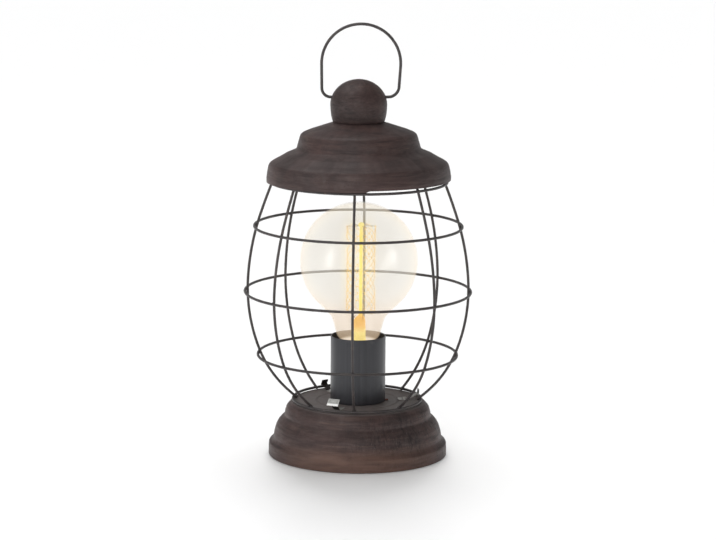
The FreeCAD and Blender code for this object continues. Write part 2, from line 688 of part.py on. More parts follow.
# one upright is a bowed wire of five tangent arcs; its top end meets the underside of the lid
BOW = []
bow_at = [-22.3894, 138.9470]
for rr, a0, a1 in ((117.73, -52.7, -47.7), (88.04, -47.7, -21.1), (137.79, -21.1, 3.25), (203.53, 3.25, 18.25), (473.6, 18.25, None)):
    if BOW:
        back = BOW[-1][2] - rr
        bow_at = [bow_at[0] + back * math.cos(math.radians(a0)), bow_at[1] + back * math.sin(math.radians(a0))]
    BOW.append((bow_at[0], bow_at[1], rr, a0, a1))
for i, (cx, cz, rr, a0, a1) in enumerate(BOW):
    cell("bow_centre_out%d" % i, cx)
    cell("bow_centre_up%d" % i, cz)
    cell("bow_rad%d" % i, rr)
cell("upright_top", 242.12)
for k in range(8):
    az = P["upright_turn"].v + 45.0 * k
    x0, y0 = math.sin(math.radians(az)), -math.cos(math.radians(az))
    lift = 61.3 * (x0 * math.sin(math.radians(P["lid_side_tilt"].v)) - y0 * math.sin(math.radians(P["lid_back_tilt"].v)))
    top = P["upright_top"].v + lift
    sp = doc.addObject("Sketcher::SketchObject", "upright_line%d" % (k + 1))
    sp.Placement = Placement(Vector(), Rotation(Vector(1, 0, 0), 90))
    geo = []
    for i, (cx, cz, rr, a0, a1) in enumerate(BOW):
        if a1 is None:
            a1 = math.degrees(math.asin((top - cz) / rr))
        geo.append(Part.ArcOfCircle(Part.Circle(Vector(cx, cz, 0), Vector(0, 0, 1), rr), math.radians(a0), math.radians(a1)))
    sp.addGeometry(geo, False)
    for i in range(len(BOW)):
        if i:
            sp.addConstraint(Sketcher.Constraint("Coincident", i - 1, 2, i, 1))
        kk = sp.addConstraint(Sketcher.Constraint("Radius", i, P["bow_rad%d" % i].v))
        sp.renameConstraint(kk, "bow%d" % i)
        sp.setExpression("Constraints.bow%d" % i, P["bow_rad%d" % i].s)
    a = math.radians(BOW[0][3])
    px, pz = BOW[0][0] + BOW[0][2] * math.cos(a), BOW[0][1] + BOW[0][2] * math.sin(a)
    th = a + math.pi / 2
    turn = Rotation(Vector(0, 0, 1), az - 90.0)
    circ = doc.addObject("Part::Circle", "upright_round%d" % (k + 1))
    circ.Radius = WR.v
    circ.setExpression("Radius", WR.s)
    circ.Placement = Placement(Vector(px, 0, pz), Rotation(Vector(0, 0, 1), Vector(math.cos(th), 0, math.sin(th))))
    sw = doc.addObject("Part::Sweep", "upright%d" % (k + 1))
    sw.Sections = [circ]
    sw.Spine = (sp, [])
    sw.Solid = True
    sw.Frenet = False
    sw.Placement = Placement(Vector(P["cage_shift"].v, 0, 0), turn)
    finish(sw, "cage_upright_%d" % (k + 1))

# ---------------------------------------------------------------- lid, ball, handle: one stack, set a little askew
SKEW_ROT = Rotation(Vector(-1, 0, 0), P["lid_back_tilt"].v).multiply(Rotation(Vector(0, -1, 0), P["lid_side_tilt"].v))
PIVOT = Vector(0, 0, P["lid_pivot_lev"].v)
OVER = Vector(P["cage_shift"].v, 0, 0)
SKEW = Placement(PIVOT + OVER, SKEW_ROT).multiply(Placement(PIVOT * -1, Rotation()))

lid = turned("lid_shell", spun_shell("lid", LID, P["lid_wall"], cell("lid_hole_rad", 3.2), cell("lid_hub_lev", 270.4)))
lid.Placement = SKEW

BR, BM, BU, BB, BW = P["ball_rad"], P["ball_mid_lev"], P["ball_upper"], P["ball_bottom"], P["ball_wall"]
skin = [(3.1, BB), (20.5, BB), (21.2, 272.2), (22.0, 275.4), (22.55, 279.6)]
for d in range(0, 90, 9):
    skin.append((BR * math.cos(math.radians(d)), BM + BU * math.sin(math.radians(d))))
skin.append((0, BM + BU))
inside = [(0, BM + BU - BW)]
for d in range(81, -1, -9):
    inside.append(((BR - BW) * math.cos(math.radians(d)), BM + (BU - BW) * math.sin(math.radians(d))))
inside += [(21.1, 279.6), (20.6, 275.6), (19.8, BB + BW), (3.1, BB + BW)]
ball = turned("finial_ball", skin + inside)
bore(ball, "handle_holes", P["handle_rad"] + P["handle_clear"], 60, Placement(Vector(-30, 0, P["handle_axis_lev"].v), Rotation(Vector(0, 1, 0), 90)))
ball.Placement = SKEW

stud = turned("finial_stud", [(0, 262.0), (P["stud_rad"], 262.0), (P["stud_rad"], BB + BW), (6.0, BB + BW), (6.0, BB + BW + 2.4), (0, BB + BW + 2.4)])
stud.Placement = SKEW
lid_under = P["lid_hub_lev"] - P["lid_wall"]
fw = turned("finial_washer", [(3.2, lid_under - 1.2), (8.0, lid_under - 1.2), (8.0, lid_under), (3.2, lid_under)])
fw.Placement = SKEW
fh = doc.addObject("Part::Prism", "finial_nut_hex")
fh.Polygon = 6
fh.Circumradius = 5.8
fh.Height = 4.0
fh.Placement = Placement(Vector(0, 0, lid_under.v - 5.2), Rotation())
fn = cut("finial_nut_cut", fh, cyl("finial_nut_hole", P["stud_rad"] + 0.03, 10, Vector(0, 0, 260)))
fn.Placement = SKEW
finish(fn, "finial_nut")

HA, HH, HC = P["handle_axis_lev"].v, P["handle_half"].v, P["handle_top_centre"].v
HX = P["handle_shift"].v + (HC - HA) * math.tan(math.radians(P["handle_tilt"].v))      # the loop leans to the right
hs = doc.addObject("Sketcher::SketchObject", "handle_line")
hs.Placement = Placement(Vector(), Rotation(Vector(1, 0, 0), 90))


def handle_side(sg):
    """End, corner and leg points of one side of the loop, from its inner end up to the arch."""
    lean = math.radians(P["handle_lean"].v + sg * P["handle_tilt"].v)
    HB = P["handle_corner" if sg > 0 else "handle_corner_left"].v
    sx, sz = sg * HX + HH * math.cos(lean), HC - HH * math.sin(lean)
    corner_x = sx - math.tan(lean) * (sz - HA)
    turn_angle = math.pi / 2 - lean
    tl = HB * math.tan(turn_angle / 2)
    bend_x = corner_x - tl
    return [Vector(sg * x, z, 0) for x, z in (
        (P["handle_end"].v, HA), (bend_x, HA),
        (bend_x + HB * math.sin(turn_angle / 2), HA + HB - HB * math.cos(turn_angle / 2)),
        (corner_x + tl * math.sin(lean), HA + tl * math.cos(lean)), (sx, sz))]


LS, RS = handle_side(-1), handle_side(1)
hs.addGeometry([Part.LineSegment(LS[0], LS[1]), Part.Arc(LS[1], LS[2], LS[3]), Part.LineSegment(LS[3], LS[4]),
                Part.Arc(LS[4], Vector(HX, HC + HH, 0), RS[4]),
                Part.LineSegment(RS[4], RS[3]), Part.Arc(RS[3], RS[2], RS[1]), Part.LineSegment(RS[1], RS[0])], False)
hc = doc.addObject("Part::Circle", "handle_round")
hc.Radius = P["handle_rad"].v
hc.setExpression("Radius", P["handle_rad"].s)
hc.Placement = Placement(Vector(-P["handle_end"].v, 0, HA), Rotation(Vector(0, 0, 1), Vector(-1, 0, 0)))
handle = doc.addObject("Part::Sweep", "handle_bail")
handle.Sections = [hc]
handle.Spine = (hs, [])
handle.Solid = True
handle.Frenet = False
handle.Placement = SKEW
finish(handle, "handle")

# ---------------------------------------------------------------- recompute, check, write
doc.recompute()
bad = []
for o in doc.Objects:
    if any(w in o.State for w in ("Invalid", "Error")):
        bad.append("%s state %s" % (o.Name, o.State))
for label, o in EXPORT:
    shp = o.Shape
    if shp.isNull() or not shp.isValid():
        bad.append("%s has no valid shape" % label)
    elif len(shp.Solids) < 1 or shp.Volume <= 0:
        bad.append("%s has no solid" % label)
if len(set(lb for lb, o in EXPORT)) != len(EXPORT):
    bad.append("two pieces share a name")
if bad:
    raise RuntimeError("; ".join(bad))

os.makedirs("parts", exist_ok=True)
for label, o in EXPORT:
    o.Shape.exportStep("parts/%s.step" % label)
    bb = o.Shape.BoundBox
    print("%-22s solids %d vol %10.1f  x %7.2f %7.2f  y %7.2f %7.2f  z %7.2f %7.2f" % (
        label, len(o.Shape.Solids), o.Shape.Volume, bb.XMin, bb.XMax, bb.YMin, bb.YMax, bb.ZMin, bb.ZMax))
axis = SKEW_ROT.multVec(Vector(1, 0, 0))
piv = SKEW.multVec(Vector(0, 0, HA))
print("handle pivot", [round(q, 4) for q in (piv.x, piv.y, piv.z)], "axis", [round(q, 6) for q in (axis.x, axis.y, axis.z)])
print("pieces", len(EXPORT))
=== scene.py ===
import bpy
import bmesh
import json
import math
import random
from mathutils import Matrix, Vector, noise

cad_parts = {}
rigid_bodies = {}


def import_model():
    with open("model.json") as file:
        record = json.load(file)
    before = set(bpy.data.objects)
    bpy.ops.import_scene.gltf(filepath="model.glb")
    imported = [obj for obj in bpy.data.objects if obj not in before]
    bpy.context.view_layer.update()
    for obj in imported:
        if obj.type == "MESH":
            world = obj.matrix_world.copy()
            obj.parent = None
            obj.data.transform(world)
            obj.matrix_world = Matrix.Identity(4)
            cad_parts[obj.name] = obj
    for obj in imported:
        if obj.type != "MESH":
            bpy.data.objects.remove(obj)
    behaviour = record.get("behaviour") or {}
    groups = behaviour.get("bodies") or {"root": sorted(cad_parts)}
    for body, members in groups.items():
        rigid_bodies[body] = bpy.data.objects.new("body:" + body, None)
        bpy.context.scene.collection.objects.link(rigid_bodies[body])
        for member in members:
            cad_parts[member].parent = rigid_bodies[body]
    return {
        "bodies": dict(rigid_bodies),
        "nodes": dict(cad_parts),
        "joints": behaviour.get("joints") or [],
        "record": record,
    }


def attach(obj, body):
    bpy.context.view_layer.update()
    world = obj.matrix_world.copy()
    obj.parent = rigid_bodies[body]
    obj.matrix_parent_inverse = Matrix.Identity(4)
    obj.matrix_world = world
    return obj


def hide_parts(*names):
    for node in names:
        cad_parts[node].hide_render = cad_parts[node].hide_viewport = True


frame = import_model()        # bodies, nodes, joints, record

random.seed(7)
MM = 0.001
NODES = frame["nodes"]
OVER = -0.6                     # cage, lid and handle stand this far to one side of the foot
MOUNT = Vector((1.7, 0, 0))     # the bulb's inner mount stands a little off its axis
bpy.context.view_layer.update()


# ------------------------------------------------------------------ mesh helpers
def add_mesh(name, verts, faces, smooth=True, sharp_deg=None):
    me = bpy.data.meshes.new(name)
    me.from_pydata(verts, [], faces)
    me.validate()
    me.update()
    ob = bpy.data.objects.new(name, me)
    bpy.context.scene.collection.objects.link(ob)
    me.polygons.foreach_set("use_smooth", [smooth] * len(me.polygons))
    if sharp_deg is not None:
        me.set_sharp_from_angle(angle=math.radians(sharp_deg))
    return ob


def outward(ob):
    bm = bmesh.new()
    bm.from_mesh(ob.data)
    bmesh.ops.recalc_face_normals(bm, faces=bm.faces)
    bm.to_mesh(ob.data)
    bm.free()
    ob.data.update()
    return ob


def place(ob, body, slot, material, *nodes):
    ob.data.materials.clear()
    ob.data.materials.append(material)
    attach(ob, body)
    if nodes:
        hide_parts(*nodes)
    return ob


def soften(pts, radius, n=5):
    """Rounds the inner corners of an open outline."""
    out = [Vector(pts[0])]
    for i in range(1, len(pts) - 1):
        a, b, c = Vector(pts[i - 1]), Vector(pts[i]), Vector(pts[i + 1])
        r = radius[i] if isinstance(radius, (list, tuple)) else radius
        da = min(r, (a - b).length * 0.48)
        dc = min(r, (c - b).length * 0.48)
        p0, p2 = b + (a - b).normalized() * da, b + (c - b).normalized() * dc
        for k in range(n + 1):
            t = k / n
            out.append(p0 * (1 - t) ** 2 + b * 2 * t * (1 - t) + p2 * t * t)
    out.append(Vector(pts[-1]))
    return out


def dense(pts, step):
    out = [Vector(pts[0])]
    for a, b in zip(pts, pts[1:]):
        a, b = Vector(a), Vector(b)
        n = max(1, int(math.ceil((b - a).length / step)))
        for k in range(1, n + 1):
            out.append(a.lerp(b, k / n))
    return out


def ease(x):
    x = min(max(x, 0.0), 1.0)
    return x * x * (3 - 2 * x)


def normals2(pts):
    out = []
    for i in range(len(pts)):
        a, b = pts[max(i - 1, 0)], pts[min(i + 1, len(pts) - 1)]
        d = (b - a)
        if d.length < 1e-9:
            d = Vector((1, 0))
        d.normalize()
        out.append(Vector((d.y, -d.x)))
    return out


def lathe(name, outline, seg=256, closed=True, shift=None, matrix=None, sharp_deg=None):
    """Turns an outline of (radius, height) in mm round the vertical axis. shift(i, point, angle) moves a point of the outline."""
    verts, rows = [], []
    for i, p in enumerate(outline):
        if abs(p[0]) < 1e-6:
            rows.append([len(verts)] * seg)
            q = Vector(p) if shift is None else shift(i, Vector(p), 0.0)
            verts.append(Vector((0, 0, q[1])) * MM)
            continue
        row = []
        for s in range(seg):
            a = 2 * math.pi * s / seg
            q = Vector(p) if shift is None else shift(i, Vector(p), a)
            row.append(len(verts))
            verts.append(Vector((q[0] * math.cos(a), q[0] * math.sin(a), q[1])) * MM)
        rows.append(row)
    faces = []
    n = len(rows)
    for i in range(n if closed else n - 1):
        r0, r1 = rows[i], rows[(i + 1) % n]
        if r0[0] == r0[1] and r1[0] == r1[1]:
            continue
        for s in range(seg):
            t = (s + 1) % seg
            f = [r0[s], r0[t], r1[t], r1[s]]
            u = []
            for k in f:
                if k not in u:
                    u.append(k)
            if len(u) >= 3:
                faces.append(u)
    if matrix is not None:
        verts = [matrix @ v for v in verts]
    return outward(add_mesh(name, verts, faces, sharp_deg=sharp_deg))


def tube(pts, rad, sides=14, closed=False, rough=0.0, seed=0.0, ends=True):
    """Verts and faces of a round wire along pts (metres). rad may be a function of the share of the length."""
    pts = [Vector(p) for p in pts]
    n = len(pts)
    tang = []
    for i in range(n):
        a = pts[(i - 1) % n] if closed else pts[max(i - 1, 0)]
        b = pts[(i + 1) % n] if closed else pts[min(i + 1, n - 1)]
        tang.append((b - a).normalized())
    ref = Vector((0, 0, 1)) if abs(tang[0].z) < 0.9 else Vector((1, 0, 0))
    u = (ref - tang[0] * ref.dot(tang[0])).normalized()
    frames = []
    for i in range(n):
        u = (u - tang[i] * u.dot(tang[i])).normalized()
        frames.append((u.copy(), tang[i].cross(u)))
    verts, faces = [], []

    def ring(c, fr, r, key):
        row = []
        for s in range(sides):
            a = 2 * math.pi * s / sides
            d = fr[0] * math.cos(a) + fr[1] * math.sin(a)
            k = r
            if rough:
                k -= rough * (0.5 + 0.5 * noise.noise((c + d * r) * 260 + Vector((seed, seed * 1.7, 0))))
            row.append(len(verts))
            verts.append(c + d * k)
        return row

    rows = []
    for i in range(n):
        r = rad(i / (n - 1)) if callable(rad) else rad
        rows.append(ring(pts[i], frames[i], r, i))
    for i in range(n if closed else n - 1):
        r0, r1 = rows[i], rows[(i + 1) % n]
        for s in range(sides):
            t = (s + 1) % sides
            faces.append([r0[s], r0[t], r1[t], r1[s]])
    if not closed and ends:
        for end, i, sg in ((0, 0, -1), (1, n - 1, 1)):
            r = rad(i / (n - 1)) if callable(rad) else rad
            last = rows[i]
            for k in (1, 2, 3):
                ang = k * math.pi / 8
                row = ring(pts[i] + tang[i] * sg * r * 0.55 * math.sin(ang), frames[i], r * math.cos(ang), i)
                for s in range(sides):
                    t = (s + 1) % sides
                    faces.append([last[s], last[t], row[t], row[s]] if sg > 0 else [last[t], last[s], row[s], row[t]])
                last = row
            tip = len(verts)
            verts.append(pts[i] + tang[i] * sg * r * 0.55)
            for s in range(sides):
                t = (s + 1) % sides
                faces.append([last[s], last[t], tip] if sg > 0 else [last[t], last[s], tip])
    return verts, faces


def joined(parts):
    verts, faces = [], []
    for v, f in parts:
        base = len(verts)
        verts += v
        faces += [[base + k for k in q] for q in f]
    return verts, faces


def cutaway(ob, cutter):
    m = ob.modifiers.new("cut", "BOOLEAN")
    m.operation, m.solver, m.object = "DIFFERENCE", "EXACT", cutter
    dg = bpy.context.evaluated_depsgraph_get()
    me = bpy.data.meshes.new_from_object(ob.evaluated_get(dg))
    ob.modifiers.clear()
    ob.data = me
    bpy.data.objects.remove(cutter)
    me.polygons.foreach_set("use_smooth", [True] * len(me.polygons))
    me.set_sharp_from_angle(angle=math.radians(40))
    return ob


# ------------------------------------------------------------------ material helpers
class Mat:
    """A small builder for node materials."""

    def __init__(self, name):
        self.m = bpy.data.materials.new(name)
        self.m.use_nodes = True
        self.t = self.m.node_tree
        self.t.nodes.clear()
        self.out = self.t.nodes.new("ShaderNodeOutputMaterial")
        tc = self.t.nodes.new("ShaderNodeTexCoord")
        self.co = tc.outputs["Object"]

    def node(self, kind, **props):
        n = self.t.nodes.new("ShaderNode" + kind)
        for k, v in props.items():
            setattr(n, k, v)
        return n

    def put(self, socket, value):
        if isinstance(value, bpy.types.NodeSocket):
            self.t.links.new(value, socket)
        else:
            socket.default_value = value

    def math(self, op, a, b=None, c=None, clamp=False):
        n = self.node("Math", operation=op, use_clamp=clamp)
        self.put(n.inputs[0], a)
        if b is not None:
            self.put(n.inputs[1], b)
        if c is not None:
            self.put(n.inputs[2], c)
        return n.outputs[0]

    def noise(self, scale, vec=None, detail=4.0, rough=0.55, distortion=0.0):
        n = self.node("TexNoise")
        self.put(n.inputs["Vector"], self.co if vec is None else vec)
        n.inputs["Scale"].default_value = scale
        n.inputs["Detail"].default_value = detail
        n.inputs["Roughness"].default_value = rough
        n.inputs["Distortion"].default_value = distortion
        return n.outputs["Fac"]

    def voronoi(self, scale, vec=None, feature="F1", out="Distance"):
        n = self.node("TexVoronoi", feature=feature)
        self.put(n.inputs["Vector"], self.co if vec is None else vec)
        n.inputs["Scale"].default_value = scale
        return n.outputs[out]

    def ramp(self, fac, stops, mode="LINEAR"):
        n = self.node("ValToRGB")
        n.color_ramp.interpolation = mode
        els = n.color_ramp.elements
        while len(els) < len(stops):
            els.new(0.5)
        for e, (p, c) in zip(els, stops):
            e.position = p
            e.color = (*c, 1) if isinstance(c, (tuple, list)) else (c, c, c, 1)
        self.put(n.inputs["Fac"], fac)
        return n.outputs["Color"]

    def mix(self, fac, a, b, blend="MIX"):
        n = self.node("Mix", data_type="RGBA", blend_type=blend)
        self.put(n.inputs["Factor"], fac)
        ia, ib = [s for s in n.inputs if s.name in ("A", "B") and s.type == "RGBA"]
        self.put(ia, (*a, 1) if isinstance(a, (tuple, list)) else a)
        self.put(ib, (*b, 1) if isinstance(b, (tuple, list)) else b)
        return [s for s in n.outputs if s.type == "RGBA"][0]

    def span(self, v, lo, hi, a=0.0, b=1.0):
        n = self.node("MapRange", clamp=True)
        self.put(n.inputs["Value"], v)
        n.inputs["From Min"].default_value = lo
        n.inputs["From Max"].default_value = hi
        n.inputs["To Min"].default_value = a
        n.inputs["To Max"].default_value = b
        return n.outputs["Result"]

    def sep(self, vec=None):
        n = self.node("SeparateXYZ")
        self.put(n.inputs[0], self.co if vec is None else vec)
        return n.outputs

    def comb(self, x, y, z):
        n = self.node("CombineXYZ")
        for s, v in zip(n.inputs, (x, y, z)):
            self.put(s, v)
        return n.outputs[0]

    def scaled(self, sx, sy, sz, vec=None):
        n = self.node("Mapping")
        self.put(n.inputs["Vector"], self.co if vec is None else vec)
        n.inputs["Scale"].default_value = (sx, sy, sz)
        return n.outputs[0]

    def round_co(self, around, along, slope=0.6):
        """Coordinates that follow a turned piece: features per radian round the axis, and per metre across it."""
        x, y, z = self.sep()
        r = self.math("SQRT", self.math("ADD", self.math("MULTIPLY", x, x), self.math("MULTIPLY", y, y)))
        rs = self.math("MAXIMUM", r, 0.0005)
        cx, cy = self.math("DIVIDE", x, rs), self.math("DIVIDE", y, rs)
        h = self.math("ADD", z, self.math("MULTIPLY", r, slope))
        return self.comb(self.math("MULTIPLY", cx, around), self.math("MULTIPLY", cy, around), self.math("MULTIPLY", h, along))

    def bump(self, height, strength, distance, normal=None):
        n = self.node("Bump")
        n.inputs["Strength"].default_value = strength
        n.inputs["Distance"].default_value = distance
        self.put(n.inputs["Height"], height)
        if normal is not None:
            self.put(n.inputs["Normal"], normal)
        return n.outputs[0]

    def bsdf(self, **kw):
        n = self.node("BsdfPrincipled")
        for k, v in kw.items():
            s = n.inputs[k.replace("_", " ")]
            if isinstance(v, tuple) and len(v) == 3 and s.type == "RGBA":
                v = (*v, 1)
            self.put(s, v)
        return n

    def done(self, shader):
        self.t.links.new(shader if isinstance(shader, bpy.types.NodeSocket) else shader.outputs[0], self.out.inputs["Surface"])
        return self.m


# ------------------------------------------------------------------ materials
def aged_metal(name, slope, rust=0.5, light=1.0, seed=0.0, blotch=None, lift=None, painted_front_light_top=None):
    """Dark brown aged finish on spun metal: turning streaks, reddish patches, fine dark pits."""
    m = Mat(name)
    base = m.comb(seed, seed * 0.7, seed * 1.3)
    add = m.node("VectorMath", operation="ADD")
    m.put(add.inputs[0], m.co)
    m.put(add.inputs[1], base)
    iso = add.outputs[0]
    streak_a = m.noise(1.0, m.round_co(2.6 + seed, 330.0, slope), 5.0, 0.62)
    streak_b = m.noise(1.0, m.round_co(9.0, 1100.0, slope), 3.0, 0.6)
    patch = m.noise(19.0, iso, 3.0, 0.5, 0.4)
    patch_b = m.noise(85.0, iso, 5.0, 0.65, 0.4)
    grain = m.noise(900.0, iso, 3.0, 0.7)
    dark, mid, pale = (0.042, 0.0275, 0.0260), (0.068, 0.0450, 0.0425), (0.102, 0.0730, 0.0685)
    rusty = (0.130, 0.066, 0.057)
    s = m.math("ADD", m.math("MULTIPLY", streak_a, 0.62), m.math("MULTIPLY", streak_b, 0.38))
    col = m.ramp(s, [(0.30, dark), (0.47, mid), (0.66, pale)])
    red = m.span(patch, 0.40, 0.70, 0.0, rust)
    red = m.math("MULTIPLY", red, m.span(streak_a, 0.35, 0.6, 0.45, 1.0))
    col = m.mix(red, col, rusty)
    smoke = m.span(patch_b, 0.52, 0.72, 0.0, 0.55)
    col = m.mix(smoke, col, (0.044, 0.033, 0.032))
    dust = m.math("MULTIPLY", m.span(patch_b, 0.30, 0.44, 1.0, 0.0), 0.22)
    col = m.mix(dust, col, (0.150, 0.125, 0.118))
    lines = m.noise(1.0, m.round_co(1.3, 620.0, slope), 2.0, 0.5)
    col = m.mix(m.math("MULTIPLY", m.span(lines, 0.60, 0.70, 0.0, 0.42), m.span(streak_a, 0.40, 0.60, 0.3, 1.0)), col, (0.165, 0.105, 0.082))
    col = m.mix(m.span(lines, 0.40, 0.31, 0.0, 0.45), col, (0.024, 0.0165, 0.0160))
    pits = m.span(grain, 0.62, 0.74, 0.0, 0.7)
    col = m.mix(pits, col, (0.012, 0.009, 0.009))
    if blotch is not None:
        # upright wrinkles in the paint on one side
        (bx, by), reach = blotch
        x, y, z = m.sep()
        near = m.math("ADD", m.math("MULTIPLY", x, bx), m.math("MULTIPLY", y, by))
        side = m.span(near, reach * 0.25, reach, 0.0, 1.0)
        wr = m.noise(1.0, m.round_co(30.0, 110.0, 0.0), 5.0, 0.68, 1.2)
        cloud = m.noise(55.0, iso, 3.0, 0.55, 0.8)
        wrk = m.math("MULTIPLY", m.math("MULTIPLY", m.span(wr, 0.47, 0.62, 0.0, 1.0), m.span(cloud, 0.38, 0.56, 0.25, 1.0)), side)
        col = m.mix(m.math("MULTIPLY", wrk, 0.72), col, (0.014, 0.0110, 0.0115))
        fleck = m.math("MULTIPLY", m.span(m.noise(1.0, m.round_co(75.0, 520.0, 0.0), 3.0, 0.6), 0.60, 0.68, 0.0, 0.5), m.math("SUBTRACT", side, wrk))
        col = m.mix(m.math("MAXIMUM", fleck, 0.0), col, (0.19, 0.165, 0.16))
    if light != 1.0:
        col = m.mix(1.0, col, (light, light, light), "MULTIPLY")
    # painted light: surfaces above z0, the deck top, are lightened towards the tint, standing in for light the lid
    # keeps off the deck
    if lift is not None:
        z0, z1, painted_light_tint, amount = lift
        x, y, z = m.sep()
        f = m.span(z, z0, z1, 0.0, amount)
        col = m.mix(f, col, painted_light_tint)
    rough = m.math("ADD", m.span(s, 0.3, 0.7, 0.62, 0.44), m.math("MULTIPLY", pits, 0.2), clamp=True)
    h = m.math("ADD", m.math("MULTIPLY", streak_b, 0.6), m.math("MULTIPLY", streak_a, 0.8))
    nrm = m.bump(h, 0.35, 0.00028)
    nrm = m.bump(m.math("SUBTRACT", m.noise(420.0, iso, 4.0, 0.6), m.math("MULTIPLY", pits, 0.8)), 0.35, 0.00016, nrm)
    if blotch is not None:
        nrm = m.bump(wrk, 0.5, 0.00022, nrm)
    if painted_front_light_top is not None:
        # painted light: the front of the foot, on the -y side and below this height, is lightened to an orange brown
        x, y, z = m.sep()
        front = m.math("MULTIPLY", m.span(m.math("MULTIPLY", y, -1.0), 0.030, 0.068, 0.0, 1.0), m.span(z, painted_front_light_top, painted_front_light_top * 0.6, 0.0, 1.0))
        col = m.mix(m.math("MULTIPLY", front, m.span(streak_a, 0.35, 0.60, 0.45, 0.80)), col, (0.170, 0.098, 0.074))
    b = m.bsdf(Base_Color=col, Roughness=rough, Metallic=0.25, Normal=nrm)
    b.inputs["Specular IOR Level"].default_value = 0.30
    b.inputs["Coat Weight"].default_value = 0.06
    b.inputs["Coat Roughness"].default_value = 0.32
    return m.done(b)


def wire_paint(name, seed=0.0):
    m = Mat(name)
    n1 = m.noise(60.0, None, 4.0, 0.6)
    n2 = m.noise(700.0, None, 4.0, 0.65)
    worn = m.noise(140.0, None, 5.0, 0.7, 0.5)
    col = m.ramp(n1, [(0.32, (0.034, 0.0285, 0.0285)), (0.55, (0.052, 0.0440, 0.0435)), (0.72, (0.076, 0.0620, 0.0595))])
    col = m.mix(m.span(worn, 0.60, 0.70, 0.0, 0.65), col, (0.130, 0.090, 0.076))
    col = m.mix(m.span(n2, 0.62, 0.75, 0.0, 0.6), col, (0.016, 0.014, 0.014))
    rough = m.span(n2, 0.35, 0.65, 0.50, 0.36)
    nrm = m.bump(m.math("ADD", n2, m.math("MULTIPLY", worn, 0.6)), 0.35, 0.00010)
    b = m.bsdf(Base_Color=col, Roughness=rough, Metallic=0.15, Normal=nrm)
    b.inputs["Specular IOR Level"].default_value = 0.50
    return m.done(b)


def sleeve_paint():
    m = Mat("sleeve_enamel")
    fine = m.noise(1.0, m.round_co(150.0, 18.0, 0.0), 3.0, 0.6)
    wide = m.noise(1.0, m.round_co(7.0, 9.0, 0.0), 3.0, 0.5)
    grain = m.noise(1500.0, None, 2.0, 0.6)
    col = m.ramp(m.math("ADD", m.math("MULTIPLY", fine, 0.5), m.math("MULTIPLY", wide, 0.5)),
                 [(0.30, (0.0240, 0.0240, 0.0275)), (0.52, (0.0370, 0.0375, 0.0430)), (0.72, (0.0560, 0.0565, 0.0650))])
    dust = m.noise(120.0, None, 5.0, 0.7)
    col = m.mix(m.span(dust, 0.60, 0.75, 0.0, 0.28), col, (0.105, 0.100, 0.098))
    rough = m.span(fine, 0.3, 0.7, 0.34, 0.46)
    nrm = m.bump(m.math("ADD", m.math("MULTIPLY", fine, 0.7), m.math("MULTIPLY", grain, 0.3)), 0.16, 0.00012)
    b = m.bsdf(Base_Color=col, Roughness=rough, Metallic=0.35, Normal=nrm)
    b.inputs["Coat Weight"].default_value = 0.25
    b.inputs["Coat Roughness"].default_value = 0.22
    return m.done(b)


def plated(name, tone=(0.46, 0.45, 0.43), rough=0.32, grime=0.35, cut=900.0):
    m = Mat(name)
    n1 = m.noise(cut, m.scaled(1, 1, 0.18), 3.0, 0.6)
    n2 = m.noise(160.0, None, 4.0, 0.65)
    lo = tuple(c * 0.62 for c in tone)
    hi = tuple(min(1.0, c * 1.25) for c in tone)
    col = m.ramp(n1, [(0.3, lo), (0.55, tone), (0.75, hi)])
    col = m.mix(m.span(n2, 0.50, 0.68, 0.0, grime), col, (0.10, 0.078, 0.060))
    r = m.math("ADD", m.span(n1, 0.3, 0.7, rough - 0.06, rough + 0.08), m.math("MULTIPLY", m.span(n2, 0.5, 0.7, 0.0, 1.0), 0.22))
    b = m.bsdf(Base_Color=col, Roughness=r, Metallic=1.0, Normal=m.bump(n1, 0.2, 0.00006))
    return m.done(b)


def brass(name, tone=(0.62, 0.42, 0.17)):
    return plated(name, tone, 0.26, 0.45, 600.0)


def felt():
    m = Mat("felt_black")
    f1 = m.noise(1800.0, None, 6.0, 0.8, 1.5)
    f2 = m.noise(420.0, m.scaled(1, 3.5, 1), 5.0, 0.75, 2.0)
    col = m.ramp(f1, [(0.3, (0.006, 0.006, 0.006)), (0.6, (0.020, 0.019, 0.019)), (0.8, (0.045, 0.043, 0.042))])
    col = m.mix(m.span(f2, 0.55, 0.7, 0.0, 0.4), col, (0.05, 0.047, 0.045))
    b = m.bsdf(Base_Color=col, Roughness=0.95, Normal=m.bump(m.math("ADD", f1, f2), 0.8, 0.0004))
    b.inputs["Sheen Weight"].default_value = 0.35
    b.inputs["Sheen Roughness"].default_value = 0.5
    return m.done(b)


def rubber():
    m = Mat("rubber_black")
    n = m.noise(900.0, None, 4.0, 0.6)
    col = m.ramp(n, [(0.35, (0.012, 0.012, 0.012)), (0.7, (0.030, 0.029, 0.028))])
    b = m.bsdf(Base_Color=col, Roughness=m.span(n, 0.3, 0.7, 0.62, 0.75), Normal=m.bump(n, 0.3, 0.0001))
    return m.done(b)


def ceramic():
    m = Mat("ceramic_white")
    n = m.noise(500.0, None, 5.0, 0.7)
    d = m.noise(40.0, None, 4.0, 0.6)
    col = m.ramp(n, [(0.3, (0.58, 0.55, 0.49)), (0.6, (0.74, 0.71, 0.65)), (0.8, (0.82, 0.80, 0.75))])
    col = m.mix(m.span(d, 0.55, 0.75, 0.0, 0.3), col, (0.55, 0.47, 0.36))
    b = m.bsdf(Base_Color=col, Roughness=m.span(n, 0.3, 0.7, 0.38, 0.55), Normal=m.bump(n, 0.25, 0.00012))
    return m.done(b)


